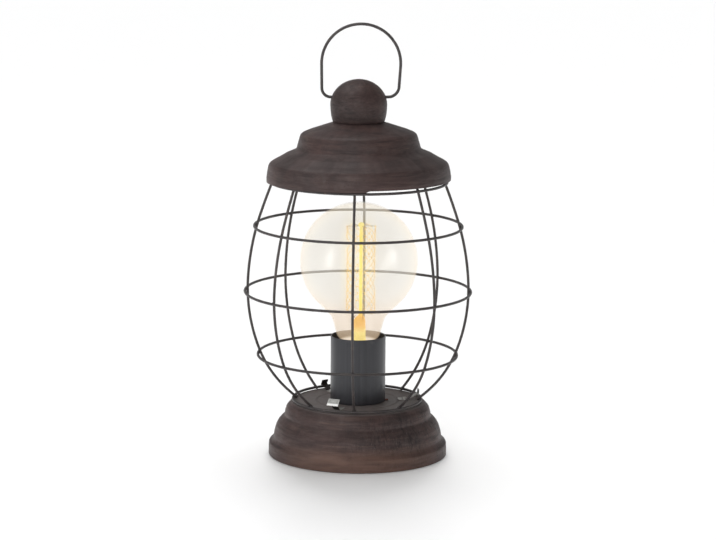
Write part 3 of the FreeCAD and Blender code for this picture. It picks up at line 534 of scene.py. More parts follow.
def plastic(name, tone, rough=0.42):
    m = Mat(name)
    n = m.noise(1100.0, None, 3.0, 0.6)
    d = m.noise(90.0, None, 4.0, 0.6)
    lo = tuple(c * 0.75 for c in tone)
    col = m.mix(m.span(d, 0.4, 0.7, 0.0, 0.6), tone, lo)
    b = m.bsdf(Base_Color=col, Roughness=m.span(n, 0.3, 0.7, rough, rough + 0.12), Normal=m.bump(n, 0.2, 0.00006))
    return m.done(b)


def vitrite():
    m = Mat("insulator_black")
    n = m.noise(300.0, None, 5.0, 0.6, 0.8)
    col = m.ramp(n, [(0.35, (0.010, 0.007, 0.008)), (0.7, (0.035, 0.020, 0.026))])
    b = m.bsdf(Base_Color=col, Roughness=m.span(n, 0.3, 0.7, 0.06, 0.16), Normal=m.bump(n, 0.15, 0.0002))
    return m.done(b)


def bulb_glass():
    """Clear glass with a warm glow in it: half see-through, a pale haze, warmer round the filament, and soft reflections."""
    m = Mat("globe_glass")
    x, y, z = m.sep()
    veil = m.noise(22.0, None, 3.0, 0.5)
    lw = m.node("LayerWeight")
    lw.inputs["Blend"].default_value = 0.5
    face = lw.outputs["Facing"]
    # how far to the side of the bulb's axis the line of sight passes
    geo = m.node("NewGeometry")
    nx, ny, nz = m.sep(geo.outputs["Normal"])
    flat = m.node("VectorMath", operation="NORMALIZE")
    m.put(flat.inputs[0], m.comb(nx, ny, 0.0))
    lh = m.node("LayerWeight")
    lh.inputs["Blend"].default_value = 0.5
    m.put(lh.inputs["Normal"], flat.outputs[0])
    c = m.math("MINIMUM", m.math("DIVIDE", m.math("SUBTRACT", 1.0, lh.outputs["Facing"]), 0.976), 1.0)
    rr = m.math("SQRT", m.math("ADD", m.math("MULTIPLY", x, x), m.math("MULTIPLY", y, y)))
    aside = m.math("MULTIPLY", rr, m.math("SQRT", m.math("MAXIMUM", m.math("SUBTRACT", 1.0, m.math("MULTIPLY", c, c)), 0.0)))
    core = m.math("MULTIPLY", m.span(aside, 0.0075, 0.0150, 1.0, 0.0),
                  m.math("MULTIPLY", m.span(z, 0.112, 0.124, 0.0, 1.0), m.span(z, 0.176, 0.200, 1.0, 0.0)))
    tone = m.ramp(face, [(0.0, (0.56, 0.505, 0.40)), (0.20, (0.58, 0.545, 0.47)), (0.42, (0.66, 0.625, 0.55)),
                         (0.65, (0.75, 0.68, 0.55)), (0.95, (0.67, 0.51, 0.34))])
    # painted reflection: grey at the top edge of the globe, for the dark lid above mirrored in the glass
    painted_top_reflection = m.math("MULTIPLY", m.span(z, 0.194, 0.204, 0.0, 1.0), m.span(face, 0.72, 0.90, 0.0, 1.0))
    tone = m.mix(painted_top_reflection, tone, (0.50, 0.50, 0.47))
    tone = m.mix(m.math("MULTIPLY", core, 0.85), tone, (0.80, 0.66, 0.33))
    low = m.span(z, 0.108, 0.136, 1.0, 0.0)
    tone = m.mix(low, tone, (0.70, 0.51, 0.33))
    rim = m.span(z, 0.102, 0.107, 1.0, 0.0)
    tone = m.mix(rim, tone, (0.59, 0.43, 0.27))
    seal = m.span(z, 0.0930, 0.0945, 1.0, 0.0)
    tone = m.mix(seal, tone, (1.0, 0.90, 0.78))
    tone = m.mix(m.span(veil, 0.35, 0.65, 0.0, 0.20), tone, (0.72, 0.68, 0.62))
    haze = m.node("Emission")
    m.put(haze.inputs["Color"], tone)
    haze.inputs["Strength"].default_value = 1.0
    clear = m.node("BsdfTransparent")
    clear.inputs["Color"].default_value = (1.0, 0.995, 0.985, 1)
    body = m.node("MixShader")
    share = m.math("ADD", m.span(veil, 0.3, 0.7, 0.150, 0.172), m.math("MULTIPLY", low, 0.045))
    m.put(body.inputs[0], m.math("ADD", share, m.math("MULTIPLY", seal, 0.60)))
    m.t.links.new(clear.outputs[0], body.inputs[1])
    m.t.links.new(haze.outputs[0], body.inputs[2])
    gloss = m.math("ADD", m.math("MULTIPLY", m.math("POWER", face, 5.0), 0.06), 0.024)
    shine = m.node("BsdfGlossy")
    shine.inputs["Roughness"].default_value = 0.30
    m.put(shine.inputs["Color"], m.comb(gloss, gloss, gloss))
    top = m.node("AddShader")
    m.t.links.new(body.outputs[0], top.inputs[0])
    m.t.links.new(shine.outputs[0], top.inputs[1])
    return m.done(top.outputs[0])


def stem_glass():
    m = Mat("stem_glass")
    x, y, z = m.sep()
    glow = m.span(z, 0.106, 0.120, 0.0, 1.0)
    glow_top = m.span(z, 0.176, 0.190, 1.0, 0.0)
    lit = m.math("MULTIPLY", glow, glow_top)
    n = m.noise(1.0, m.scaled(300, 300, 420), 4.0, 0.7)
    press = m.math("MULTIPLY", m.span(z, 0.100, 0.106, 0.0, 1.0), m.span(z, 0.113, 0.117, 1.0, 0.0))
    tone = m.mix(lit, (1.0, 0.88, 0.26), (1.0, 0.86, 0.13))
    tone = m.mix(press, tone, (0.93, 0.47, 0.02))
    power = m.span(n, 0.35, 0.6, 0.84, 1.0)
    g = m.bsdf(Base_Color=(0.20, 0.14, 0.05), Roughness=0.12, Emission_Color=tone, Emission_Strength=power)
    clear = m.node("BsdfTransparent")
    clear.inputs["Color"].default_value = (1.0, 0.93, 0.74, 1)
    mx = m.node("MixShader")
    m.put(mx.inputs[0], m.math("ADD", m.math("MULTIPLY", m.math("MAXIMUM", lit, press), 0.32), 0.62))
    m.t.links.new(clear.outputs[0], mx.inputs[1])
    m.t.links.new(g.outputs[0], mx.inputs[2])
    return m.done(mx.outputs[0])


def filament_glow():
    m = Mat("filament_glow")
    x, y, z = m.sep()
    n = m.noise(1.0, m.scaled(160, 160, 260), 3.0, 0.6)
    col = m.ramp(n, [(0.3, (0.92, 0.45, 0.06)), (0.55, (0.96, 0.60, 0.12)), (0.75, (1.0, 0.74, 0.24))])
    b = m.bsdf(Base_Color=(0.25, 0.16, 0.06), Roughness=0.4, Emission_Color=col, Emission_Strength=m.span(n, 0.3, 0.7, 0.78, 1.05))
    return m.done(b)


AGED_LID = aged_metal("aged_metal_lid", 0.55, rust=0.5, light=0.72, seed=0.0)
# the foot's finish carries painted light: the deck top and the front of the flange are lightened
AGED_FOOT = aged_metal("aged_metal_foot", 0.35, rust=0.6, light=0.84, seed=0.31, blotch=((0.80, -0.60), 0.062), lift=(0.0425, 0.0437, (0.190, 0.165, 0.157), 0.92), painted_front_light_top=0.020)
AGED_BALL = aged_metal("aged_metal_ball", 0.2, rust=0.75, light=0.60, seed=0.77)
WIRE = wire_paint("wire_paint")
SLEEVE = sleeve_paint()
STEEL = plated("plated_steel")
CLIP = plated("clip_steel", (0.60, 0.59, 0.57), 0.34, 0.25, 700.0)


def clip_painted_light():
    """Bare spring steel; the slanting tab is dull above, with a pressed rectangle whose outline is darkened as painted
    shade, a painted highlight along its lower edge, and painted shade below it.
    """
    m = Mat("clip_painted_light")
    x, y, z = m.sep()
    n1 = m.noise(700.0, m.scaled(1, 1, 0.3), 3.0, 0.6)
    az = math.radians(246.0)
    u = m.math("ADD", m.math("MULTIPLY", x, -math.sin(az)), m.math("MULTIPLY", y, math.cos(az)))
    du = m.math("ABSOLUTE", u)
    dz = m.math("ABSOLUTE", m.math("SUBTRACT", z, 0.0521))
    frame = m.math("MAXIMUM", m.math("DIVIDE", du, 0.0030), m.math("DIVIDE", dz, 0.00085))
    press = m.math("MULTIPLY", m.span(frame, 0.80, 0.95, 0.0, 1.0), m.span(frame, 1.05, 1.20, 1.0, 0.0))
    edge = m.span(z, 0.0506, 0.0502, 0.0, 1.0)
    col = m.ramp(n1, [(0.35, (0.36, 0.36, 0.34)), (0.70, (0.46, 0.46, 0.44))])
    # painted shade: the pressed rectangle's outline is darkened; the relief itself comes from the bump below
    col = m.mix(m.math("MULTIPLY", press, 0.65), col, (0.19, 0.19, 0.18))
    # painted highlight: near white along the tab's lower edge
    col = m.mix(edge, col, (0.95, 0.95, 0.93))
    # painted shade: near black below the tab, where its shadow falls
    low = m.span(z, 0.0488, 0.0484, 0.0, 1.0)
    col = m.mix(low, col, (0.035, 0.030, 0.028))
    b = m.bsdf(Base_Color=col, Roughness=m.span(n1, 0.3, 0.7, 0.30, 0.42), Metallic=0.15, Normal=m.bump(press, 0.5, 0.00015))
    return m.done(b)


def clip_tipped():
    """Spring steel, near black at its tip."""
    m = Mat("clip_tipped")
    x, y, z = m.sep()
    n1 = m.noise(600.0, m.scaled(1, 1, 0.3), 3.0, 0.6)
    n2 = m.noise(150.0, None, 4.0, 0.6)
    col = m.ramp(n1, [(0.3, (0.34, 0.33, 0.31)), (0.7, (0.62, 0.61, 0.58))])
    col = m.mix(m.span(n2, 0.52, 0.68, 0.0, 0.5), col, (0.11, 0.09, 0.08))
    col = m.mix(m.span(z, 0.0485, 0.0492, 0.0, 1.0), col, (0.012, 0.010, 0.010))
    b = m.bsdf(Base_Color=col, Roughness=m.span(n1, 0.3, 0.7, 0.30, 0.45), Metallic=0.5, Normal=m.bump(n1, 0.2, 0.00006))
    return m.done(b)


CLIP_PAINTED_LIGHT, CLIP_TIPPED = clip_painted_light(), clip_tipped()
# painted shade: a dark copy of the clip steel for the rear tongue, which lies in shade
CLIP_PAINTED_SHADE = plated("clip_painted_shade", (0.085, 0.072, 0.068), 0.42, 0.5, 700.0)
BRASS = brass("brass_pressed")
CAPM = plated("cap_metal", (0.62, 0.60, 0.55), 0.22, 0.25, 500.0)
SOLDER = plated("solder", (0.45, 0.45, 0.46), 0.38, 0.3, 300.0)
SUPPORT = plated("support_wire", (0.55, 0.42, 0.22), 0.3, 0.4, 900.0)
FELT = felt()
RUBBER = rubber()
CERAMIC = ceramic()
TERMINAL = plastic("terminal_plastic", (0.62, 0.62, 0.58), 0.35)
BROWN = plastic("wire_brown", (0.105, 0.036, 0.017))
BLUE = plastic("wire_blue", (0.020, 0.085, 0.33))
GREEN = plastic("wire_green_yellow", (0.13, 0.30, 0.030))
VITRITE = vitrite()
GLOBE = bulb_glass()
STEM = stem_glass()
GLOW = filament_glow()

# ------------------------------------------------------------------ the foot
FOOT = [(52.0, 43.8), (54.0, 43.1), (55.5, 41.5), (57.8, 38.9), (59.1, 34.8), (59.3, 31.6), (62.3, 29.2), (64.5, 26.6),
        (66.0, 23.8), (67.6, 18.5), (68.3, 13.6), (69.6, 12.0), (72.0, 10.0), (72.3, 5.0), (72.2, 0.45)]
DECK = [(5.3, 43.8), (31.6, 43.8), (32.3, 43.45), (33.7, 43.45), (34.4, 43.8), (49.4, 43.8), (50.0, 43.62), (50.8, 43.62), (51.4, 43.8)]


def spun(name, outer, wall, step, seg, wave, matrix=None, seed=0.0, corner=1.3, dent=0.0, warp=None):
    """A spun shell: outer skin with turning ridges and slight waves, inner skin, and both edges."""
    skin = dense(soften(outer, corner), step)
    nrm = normals2(skin)
    n = len(skin)
    inner = []
    for p, q in zip(skin, nrm):
        inner.append(Vector((max(p.x + q.x * wall, 0.0), p.y + q.y * wall)))
    inner[0] = Vector((skin[0].x, skin[0].y - wall))
    inner[-1] = Vector((skin[-1].x - wall, skin[-1].y))
    run = [0.0]
    for a, b in zip(skin, skin[1:]):
        run.append(run[-1] + (b - a).length)
    inside = inner[::3]
    if (inside[-1] - inner[-1]).length > 1e-6:
        inside.append(inner[-1])
    outline = skin + inside[::-1]

    def shift(i, p, a):
        if warp is not None:
            p = p + Vector((0, warp(p.y, a)))
        if i >= n:
            return p
        s = run[i]
        edge = min(1.0, s / 4.0, (run[-1] - s) / 2.0)
        k = 0.5 + 0.5 * noise.noise(Vector((s * 0.55, seed * 9.1, 0.0)))
        k2 = 0.5 + 0.5 * noise.noise(Vector((s * 1.9, seed * 5.3, 4.0)))
        w = 0.5 + 0.5 * noise.noise(Vector((math.cos(a) * 2.1, math.sin(a) * 2.1, s * 0.05 + seed)))
        w2 = 0.5 + 0.5 * noise.noise(Vector((math.cos(a) * 6.5, math.sin(a) * 6.5, s * 0.16 + seed)))
        d = wave * (0.45 * k + 0.30 * k2 * (0.4 + 0.6 * w)) + dent * (0.65 * w + 0.35 * w2)
        return p + nrm[i] * d * edge

    return lathe(name, outline, seg, True, shift, matrix)


foot = spun("foot_shell", DECK + FOOT, 1.0, 0.55, 300, 0.10, seed=0.4, corner=0.9, dent=0.10)
tilt = math.radians(16.8)
out_dir = Vector((0, math.cos(tilt), math.sin(tilt)))
bpy.ops.mesh.primitive_cylinder_add(vertices=64, radius=4.66 * MM, depth=14 * MM, location=Vector((0, 66.8, 21.2)) * MM)
cutter = bpy.context.object
cutter.rotation_mode = "QUATERNION"
cutter.rotation_quaternion = out_dir.to_track_quat("Z", "Y")
foot = cutaway(foot, cutter)
place(foot, "base", "aged_metal", AGED_FOOT, "base_shell")

# ------------------------------------------------------------------ sleeve
tube_out = [(5.3, 44.8), (5.3, 43.82), (20.4, 43.82), (21.8, 43.9), (22.2, 44.4), (22.2, 96.8), (22.05, 97.25), (21.7, 97.4), (21.4, 97.3), (21.2, 96.9), (21.2, 45.6), (20.4, 44.8)]
sl = soften(tube_out + tube_out[:1], 0.25, 3)[:-1]
sleeve = lathe("sleeve_tube", dense(sl, 2.0), 192, True, sharp_deg=40)
place(sleeve, "base", "black_tube", SLEEVE, "socket_sleeve")


def block(lo, hi, bevel=0.12, segments=2):
    """A soft-edged plate as verts and faces (mm in, metres out)."""
    bm = bmesh.new()
    bmesh.ops.create_cube(bm, size=1.0)
    for v in bm.verts:
        v.co = Vector(((lo[k] + hi[k]) / 2 + v.co[k] * (hi[k] - lo[k]) for k in range(3))) * MM
    bmesh.ops.bevel(bm, geom=list(bm.edges), offset=bevel * MM, segments=segments, affect="EDGES", profile=0.6)
    bm.verts.ensure_lookup_table()
    vs = [v.co.copy() for v in bm.verts]
    fs = [[v.index for v in f.verts] for f in bm.faces]
    bm.free()
    return vs, fs


v, f = block((21.5, -1.5, 43.82), (24.6, 1.5, 44.8), 0.25)
foot_tab = outward(add_mesh("sleeve_tab", v, f))
place(foot_tab, "base", "clip_steel", plated("tab_copper", (0.20, 0.075, 0.055), 0.4, 0.4, 700.0))

# ------------------------------------------------------------------ cage wires
RINGS = [("bottom", 51.9, 45.2), ("lower", 80.4, 81.8), ("middle", 90.9, 133.8), ("upper", 83.36, 186.7), ("top", 70.75, 222.9)]
for i, (nm, rad, lev) in enumerate(RINGS):
    n = 240
    pts = [Vector((OVER + rad * math.cos(2 * math.pi * k / n), rad * math.sin(2 * math.pi * k / n), lev)) * MM for k in range(n)]
    v, f = tube(pts, 1.1 * MM, 16, True, 0.045 * MM, seed=i * 3.7)
    place(outward(add_mesh("ring_" + nm, v, f)), "cage", "cage_wire", WIRE, "cage_ring_" + nm)

BOW, bow_at = [], [-22.3894, 138.9470]
for rr, a0, a1 in ((117.73, -52.7, -47.7), (88.04, -47.7, -21.1), (137.79, -21.1, 3.25), (203.53, 3.25, 18.25), (473.6, 18.25, None)):
    if BOW:
        back = BOW[-1][2] - rr
        bow_at = [bow_at[0] + back * math.cos(math.radians(a0)), bow_at[1] + back * math.sin(math.radians(a0))]
    BOW.append((bow_at[0], bow_at[1], rr, a0, a1))
SIDE_T, BACK_T = math.radians(0.45), math.radians(1.0)
SKEW = (Matrix.Translation(Vector((OVER, 0, 224.0)) * MM) @ Matrix.Rotation(-BACK_T, 4, "X") @ Matrix.Rotation(-SIDE_T, 4, "Y")
        @ Matrix.Translation(Vector((0, 0, -224.0)) * MM))


def bow_points(top, step=1.6):
    pts = []
    for cx, cz, rr, a0, a1 in BOW:
        if a1 is None:
            a1 = math.degrees(math.asin((top - cz) / rr))
        n = max(2, int(math.radians(a1 - a0) * rr / step))
        for k in range(n + 1):
            if pts and k == 0:
                continue
            a = math.radians(a0 + (a1 - a0) * k / n)
            pts.append((cx + rr * math.cos(a), cz + rr * math.sin(a)))
    return pts


crossings = []
for k in range(8):
    az = math.radians(-2.57 + 45.0 * k)
    ux, uy = math.sin(az), -math.cos(az)
    lift = 61.3 * (ux * math.sin(SIDE_T) - uy * math.sin(BACK_T))
    line = bow_points(242.12 + lift)

    def aside(z):
        """The rear wire is bent a little sideways, as in the photograph."""
        return OVER + (1.1 * ease((z - 60) / 40) * ease((222 - z) / 32) if k == 4 else 0.0)

    v, f = tube([Vector((aside(z) + r * ux, r * uy, z)) * MM for r, z in line], 1.1 * MM, 16, False, 0.045 * MM, seed=20 + k)
    place(outward(add_mesh("upright_%d" % (k + 1), v, f)), "cage", "cage_wire", WIRE, "cage_upright_%d" % (k + 1))
    for nm, rad, lev in RINGS:
        r, z = min(line, key=lambda q: (q[0] - rad) ** 2 + (q[1] - lev) ** 2)
        crossings.append((Vector((ux, uy, 0)), Vector((-uy, ux, 0)), (rad + r) / 2, (lev + z) / 2, aside(lev), 1.35 if nm == "bottom" else 1.0))

welds = []
for out, side, rad, lev, over, big in crossings:
    bm = bmesh.new()
    bmesh.ops.create_icosphere(bm, subdivisions=3, radius=1.0)
    sx, sy, sz = random.uniform(0.62, 0.78), random.uniform(1.15, 1.5), random.uniform(1.15, 1.5)
    dx = random.uniform(-0.12, 0.12)
    off = Vector((random.uniform(0, 50), random.uniform(0, 50), 0))
    vs = []
    for q in bm.verts:
        k = 1.0 + 0.16 * noise.noise(q.co * 2.2 + off)
        p = out * (rad - 0.12 + q.co.x * sx * k) + side * (q.co.y * sy * k * big + dx) + Vector((over, 0, lev + q.co.z * sz * k * (1.0 if q.co.z < 0 else big)))
        vs.append(p * MM)
    fs = [[q.index for q in g.verts] for g in bm.faces]
    bm.free()
    welds.append((vs, fs))
v, f = joined(welds)
place(outward(add_mesh("cage_welds", v, f)), "cage", "cage_wire", WIRE)

# ------------------------------------------------------------------ lid and ball
LID = [(3.2, 270.4), (20.4, 270.4), (25.6, 268.8), (32.8, 266.4), (39.4, 264.2), (44.3, 262.2), (46.4, 260.7), (47.3, 258.2), (48.5, 253.9),
       (49.5, 250.2), (50.4, 248.7), (52.4, 247.7), (58.8, 245.0), (64.1, 241.8), (68.7, 239.4), (70.9, 238.0), (72.1, 236.1), (73.1, 232.0),
       (73.9, 227.0), (73.7, 224.3)]


def rim_drop(z, a):
    """The rim hangs lower on its left front, down to the top ring."""
    d = math.degrees(a) % 360.0
    return -1.35 * ease((d - 135) / 40) * ease((276.8 - d) / 2.6) * ease((236.0 - z) / 11.0)


lid = spun("lid_spun", LID, 0.9, 0.55, 300, 0.10, SKEW, seed=1.3, corner=0.8, dent=0.05, warp=rim_drop)
place(lid, "cage", "aged_metal", AGED_LID, "lid_shell")

BR, BM_, BU, BB, BW = 22.8, 284.2, 20.4, 270.4, 1.4
ball_skin = [Vector((3.1, BB)), Vector((20.3, BB)), Vector((20.5, BB + 0.15)), Vector((21.2, 272.2)), Vector((22.0, 275.4)), Vector((22.55, 279.6))]
for d in range(0, 90, 3):
    ball_skin.append(Vector((BR * math.cos(math.radians(d)), BM_ + BU * math.sin(math.radians(d)))))
ball_skin.append(Vector((0, BM_ + BU)))
ball_skin = dense(ball_skin, 1.0)
count = len(ball_skin)
bn = normals2(ball_skin)
ball_in = [Vector((0, BM_ + BU - BW))]
for d in range(80, -1, -8):
    ball_in.append(Vector(((BR - BW) * math.cos(math.radians(d)), BM_ + (BU - BW) * math.sin(math.radians(d)))))
ball_in += [Vector((21.1, 279.6)), Vector((20.6, 275.6)), Vector((19.8, BB + BW)), Vector((3.1, BB + BW))]


def ball_shift(i, p, a):
    if i >= count or p.x < 0.01:
        return p
    w = 0.5 + 0.5 * noise.noise(Vector((math.cos(a) * 1.6, math.sin(a) * 1.6, p.y * 0.12)))
    k = 0.5 + 0.5 * noise.noise(Vector((p.y * 1.1, 3.0, 0.0)))
    fade = min(1.0, p.x / 6.0) * min(1.0, max(0.0, (p.y - 270.6) / 2.0))
    # bn points into the shell here, because the outline runs upwards
    return p - Vector((abs(bn[i].x), bn[i].y if bn[i].y > 0 else 0)) * (0.16 * w + 0.06 * k) * fade


ball = lathe("ball_turned", ball_skin + ball_in, 180, True, ball_shift)
bpy.ops.mesh.primitive_cylinder_add(vertices=48, radius=1.29 * MM, depth=60 * MM, location=Vector((0, 0, 290.3)) * MM, rotation=(0, math.pi / 2, 0))
ball = cutaway(ball, bpy.context.object)
ball.data.transform(SKEW)
place(ball, "cage", "aged_metal", AGED_BALL, "finial_ball")

# ------------------------------------------------------------------ handle
HA, HH, HC, HE = 290.3, 31.4, 316.8, 18.6
HX = 1.05 + (HC - HA) * math.tan(math.radians(1.9))


def handle_side(sg, bend):
    """Points of one side of the loop, from its inner end up to the arch."""
    lean = math.radians(2.3 + sg * 1.9)
    sx, sz = sg * HX + HH * math.cos(lean), HC - HH * math.sin(lean)
    corner_x = sx - math.tan(lean) * (sz - HA)
    turn = math.pi / 2 - lean
    bend_x = corner_x - bend * math.tan(turn / 2)
    out = [Vector((HE, HA)).lerp(Vector((bend_x, HA)), k / 8) for k in range(9)]
    for k in range(1, 15):
        a = turn * k / 14
        out.append(Vector((bend_x + math.sin(a) * bend, HA + bend - math.cos(a) * bend)))
    start = out[-1].copy()
    for k in range(1, 9):
        out.append(start.lerp(Vector((sx, sz)), k / 8))
    return [Vector((sg * q.x, 0, q.y)) for q in out], lean


left_side, lean_l = handle_side(-1, 7.1)
right_side, lean_r = handle_side(1, 8.5)
arch = []
for k in range(1, 72):
    a = math.pi + lean_l - (math.pi + lean_l + lean_r) * k / 72
    arch.append(Vector((HX + HH * math.cos(a), 0, HC + HH * math.sin(a))))
full = left_side + arch + right_side[::-1]
v, f = tube([p * MM for p in full], 1.2 * MM, 18, False, 0.04 * MM, seed=3.1)
handle = outward(add_mesh("handle_bail", v, f))
handle.data.transform(SKEW)
place(handle, "handle", "cage_wire", WIRE, "handle")

# ------------------------------------------------------------------ bulb
GR, GL = 47.4, 158.6
neck = [(35.0, GL - math.sqrt(GR ** 2 - 35.0 ** 2)), (27.4, 118.9), (22.2, 113.6), (20.2, 108.5), (19.3, 104.9), (18.4, 100.9), (17.2, 97.4), (15.2, 95.0),
        (12.9, 93.0), (11.5, 91.6), (11.5, 86.0)]
a_join = math.degrees(math.asin((neck[0][1] - GL) / GR))
outer = [Vector((GR * math.cos(math.radians(a)), GL + GR * math.sin(math.radians(a)))) for a in [90 - (90 - a_join) * k / 60 for k in range(61)]]
outer[0] = Vector((0, GL + GR))
blend_neck = soften([outer[-2]] + [Vector(q) for q in neck], 3.2, 6)
skin = outer[:-1] + blend_neck[1:]
nr = normals2(skin)
inn = []
for i, (p, q) in enumerate(zip(skin, nr)):
    inn.append(Vector((max(p.x + 0.8 * q.x, 0.0), p.y + 0.8 * q.y)))
inn[0] = Vector((0, GL + GR - 0.8))
inn[-1] = Vector((10.7, 86.0))
globe = lathe("globe", skin + inn[::-1], 160, True)
place(globe, "bulb", "clear_glass", GLOBE, "bulb_glass")

stem_line = [(10.4, 86.0), (10.4, 87.0), (6.4, 92.0), (5.9, 96.0), (5.9, 104.0), (5.2, 109.0), (3.2, 112.6), (1.3, 114.6), (1.3, 185.6), (2.4, 186.6),
             (2.4, 188.6), (1.2, 189.5), (0, 189.6)]
stem_in = [(0, 109.6), (3.2, 107.0), (4.9, 102.0), (4.9, 96.0), (5.4, 91.4), (9.4, 86.0)]
stem = lathe("stem", [Vector(q) for q in soften(stem_line, 1.0, 5)] + [Vector(q) for q in stem_in], 64, True)
for q in stem.data.vertices:
    q.co.x += MOUNT.x * MM * ease((q.co.z / MM - 106.0) / 8.0)
place(stem, "bulb", "stem_glass", STEM, "bulb_stem")

FR, NS, LOW, HIGH = 11.8, 10, 119.5, 183.5
STEP = math.radians(32.0)


def strand(k, wind=0.0):
    a = math.radians(-81.0) + STEP * k + 2 * math.pi * wind
    return Vector((FR * math.cos(a), FR * math.sin(a), 0))


line = []
half_w = FR * math.sin(STEP / 2)
for k in range(NS):
    q = strand(k)
    zs = [LOW + (HIGH - LOW) * t / 120 for t in range(121)]
    if k % 2:
        zs = zs[::-1]
    for z in zs:
        t = (z - LOW) / (HIGH - LOW)
        # the strands wind once round the rod between their lower and upper turns
        q = strand(k, t)
        out_u = q.normalized()
        side_u = Vector((-out_u.y, out_u.x, 0))
        sway = math.sin(math.pi * t) * 0.5
        wob = (0.30 * math.sin(z * 0.9 + k * 1.7) + 0.22 * math.sin(z * 0.37 + k)) * math.sin(math.pi * t) ** 0.5 if 0 < t < 1 else 0.0
        line.append(Vector((q.x, q.y, z)) + side_u * wob - out_u * sway)
    if k < NS - 1:
        q, q2 = strand(k), strand(k + 1)
        mid = (q + q2) * 0.5
        e = (q2 - q).normalized()
        s = 1 if k % 2 == 0 else -1
        lev = HIGH if s > 0 else LOW
        for t in range(1, 8):
            a = math.pi * t / 8
            line.append(Vector((mid.x, mid.y, lev + s * half_w * math.sin(a))) - e * half_w * math.cos(a))
coil, run = [], 0.0
u = Vector((1, 0, 0))
dense_line = []
for a, b in zip(line, line[1:]):
    n = max(1, int((b - a).length / 0.24))
    for t in range(n):
        dense_line.append(a.lerp(b, t / n))
dense_line.append(line[-1])
for i, p in enumerate(dense_line):
    a, b = dense_line[max(i - 1, 0)], dense_line[min(i + 1, len(dense_line) - 1)]
    t = (b - a).normalized()
    u = (u - t * u.dot(t))
    u = u.normalized() if u.length > 1e-6 else t.orthogonal().normalized()
    w = t.cross(u)
    run += (p - dense_line[max(i - 1, 0)]).length
    ph = run / 2.5 * 2 * math.pi
    coil.append((p + MOUNT + (u * math.cos(ph) + w * math.sin(ph)) * 0.55) * MM)
v, f = tube(coil, 0.15 * MM, 6, False)
place(add_mesh("filament_coil", v, f), "bulb", "filament_glow", GLOW, "filament")

# ------------------------------------------------------------------ the CAD nodes that stay, with their own finish
PLAIN = {
    "base_plate": STEEL, "felt_pad": FELT, "plate_screws": STEEL, "plate_brackets": STEEL, "cable_grommet": RUBBER, "terminal_block": TERMINAL,
    "terminal_block_screws": STEEL, "earth_screw": STEEL, "earth_washer": STEEL, "threaded_nipple": STEEL, "lock_washer": STEEL, "nipple_nut": STEEL,
    "lampholder_body": CERAMIC, "lampholder_shell": BRASS, "centre_contact": BRASS, "terminal_screws": BRASS, "wire_live": BROWN,
    "wire_neutral": BLUE, "wire_earth": GREEN, "clip_feet": CLIP_TIPPED, "clip_rivets": CLIP, "clip_tongue_right": CLIP_TIPPED, "clip_tongue_rear": CLIP_PAINTED_SHADE,
    "clip_tongue_front": CLIP_PAINTED_LIGHT, "bulb_cap": CAPM, "bulb_insulator": VITRITE, "bulb_contact": SOLDER, "filament_supports": SUPPORT,
    "lead_wires": SUPPORT, "finial_stud": STEEL, "finial_washer": STEEL, "finial_nut": STEEL,
}
for nm, material in PLAIN.items():
    ob = NODES[nm]
    ob.data.materials.clear()
    ob.data.materials.append(material)
    ob.data.polygons.foreach_set("use_smooth", [True] * len(ob.data.polygons))
for nm in ("clip_feet", "clip_tongue_right", "clip_tongue_rear", "clip_tongue_front", "plate_brackets", "terminal_block", "finial_nut", "nipple_nut"):
    NODES[nm].data.polygons.foreach_set("use_smooth", [False] * len(NODES[nm].data.polygons))

# ------------------------------------------------------------------ floor, light, camera
size = 30.0
floor = add_mesh("floor", [(-size, -size, 0), (size, -size, 0), (size, size, 0), (-size, size, 0)], [[0, 1, 2, 3]], smooth=False)
fm = Mat("floor_white")
fb = fm.bsdf(Base_Color=(0.92, 0.92, 0.92), Roughness=0.9)
fb.inputs["Specular IOR Level"].default_value = 0.0
floor.data.materials.append(fm.done(fb))

world = bpy.data.worlds.new("studio")
bpy.context.scene.world = world
world.use_nodes = True
wt = world.node_tree
bg = wt.nodes["Background"]
wc = wt.nodes.new("ShaderNodeTexCoord")
wx = wt.nodes.new("ShaderNodeSeparateXYZ")
wr = wt.nodes.new("ShaderNodeValToRGB")
wt.links.new(wc.outputs["Generated"], wx.inputs[0])
wt.links.new(wx.outputs[2], wr.inputs["Fac"])
wt.links.new(wr.outputs["Color"], bg.inputs["Color"])
els = wr.color_ramp.elements
els.new(0.5)
for e, (pos, val) in zip(els, ((0.0, 0.62), (0.35, 0.40), (1.0, 0.14))):
    e.position, e.color = pos, (val, val, val, 1)
bg.inputs["Strength"].default_value = 1.0


def area(name, loc, target, size_x, size_y, power, color=(1, 1, 1)):
    li = bpy.data.lights.new(name, "AREA")
    li.shape = "RECTANGLE"
    li.size, li.size_y, li.energy, li.color = size_x, size_y, power, color
    ob = bpy.data.objects.new(name, li)
    ob.location = loc
    ob.rotation_mode = "QUATERNION"
    ob.rotation_quaternion = (Vector(target) - Vector(loc)).to_track_quat("-Z", "Y")
    bpy.context.scene.collection.objects.link(ob)
    return ob


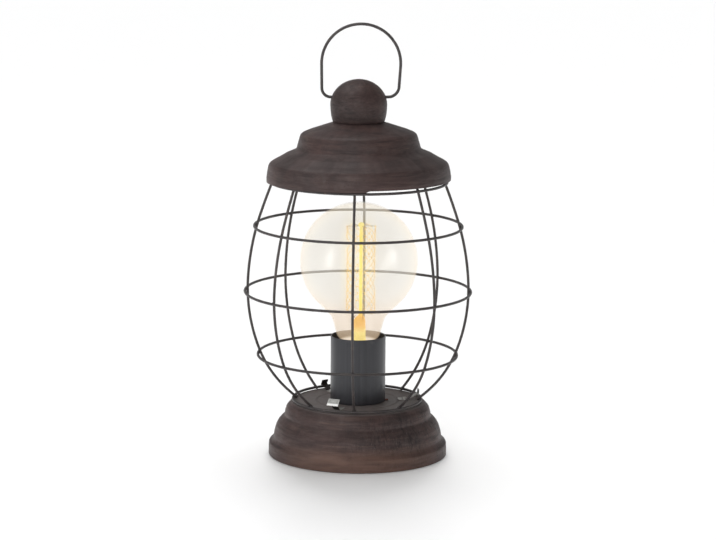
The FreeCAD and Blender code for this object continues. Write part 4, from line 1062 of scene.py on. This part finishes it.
# the floor's own light: high from behind, low from behind, and a little from the front
only_floor = bpy.data.collections.new("lit_by_floor_light")
only_floor.objects.link(floor)
for nm, up, share, angle, side in (("floor_high", 66.0, 0.43, 52.0, -1.0), ("floor_low", 18.0, 0.25, 32.0, -1.0), ("floor_front", 40.0, 0.06, 60.0, 1.0)):
    sun = bpy.data.lights.new(nm, "SUN")
    up = math.radians(up)
    sun.energy, sun.angle = share * math.pi / 0.92 / math.sin(up), math.radians(angle)
    sun_ob = bpy.data.objects.new(nm, sun)
    sun_ob.rotation_mode = "QUATERNION"
    sun_ob.rotation_quaternion = Vector((0.0, side * math.cos(up), -math.sin(up))).to_track_quat("-Z", "Y")
    bpy.context.scene.collection.objects.link(sun_ob)
    sun_ob.light_linking.receiver_collection = only_floor

area("left_box", (-1.25, -0.75, 0.50), (0, 0, 0.17), 0.45, 1.0, 2.3, (0.97, 0.985, 1.0))
area("front_box", (-0.55, -2.3, 0.95), (0, 0, 0.18), 1.3, 1.0, 12.0)
only_globe = bpy.data.collections.new("lit_by_glints")
only_globe.objects.link(globe)
for nm, loc, power in (("left_glint", (-1.10, -0.66, 0.42), 5.0), ("right_glint", (1.20, -0.42, 0.40), 5.0)):
    area(nm, loc, (0, 0, 0.16), 0.26, 0.62, power).light_linking.receiver_collection = only_globe
top_box = area("top_box", (-0.30, 0.05, 1.12), (0, 0, 0.2), 0.9, 0.9, 5.6)
not_floor = bpy.data.collections.new("not_lit_by_top_box")
not_floor.objects.link(floor)
top_box.light_linking.receiver_collection = not_floor
not_floor.collection_objects[0].light_linking.link_state = "EXCLUDE"

cam = bpy.data.cameras.new("cam")
cam.lens, cam.sensor_width, cam.sensor_fit = 144.3, 36.0, "HORIZONTAL"
cam_ob = bpy.data.objects.new("cam", cam)
bpy.context.scene.collection.objects.link(cam_ob)
cam_ob.location = (-0.0006, -2.27228, 0.5584)
look = Vector((-0.0006, 0, 0.1027)) - Vector(cam_ob.location)
roll = math.radians(0.45)
cam_ob.rotation_mode = "QUATERNION"
cam_ob.rotation_quaternion = look.to_track_quat("-Z", "Y") @ Matrix.Rotation(roll, 3, "Z").to_quaternion()
cam.shift_x = 0.0006
cam.shift_y = 0.0818
cam.clip_start, cam.clip_end = 0.05, 100.0
bpy.context.scene.camera = cam_ob
bpy.context.scene.view_settings.view_transform = "Standard"
bpy.context.scene.view_settings.look = "None"
bpy.context.scene.cycles.use_denoising = True
bpy.context.scene.cycles.transparent_max_bounces = 24

bpy.context.view_layer.update()
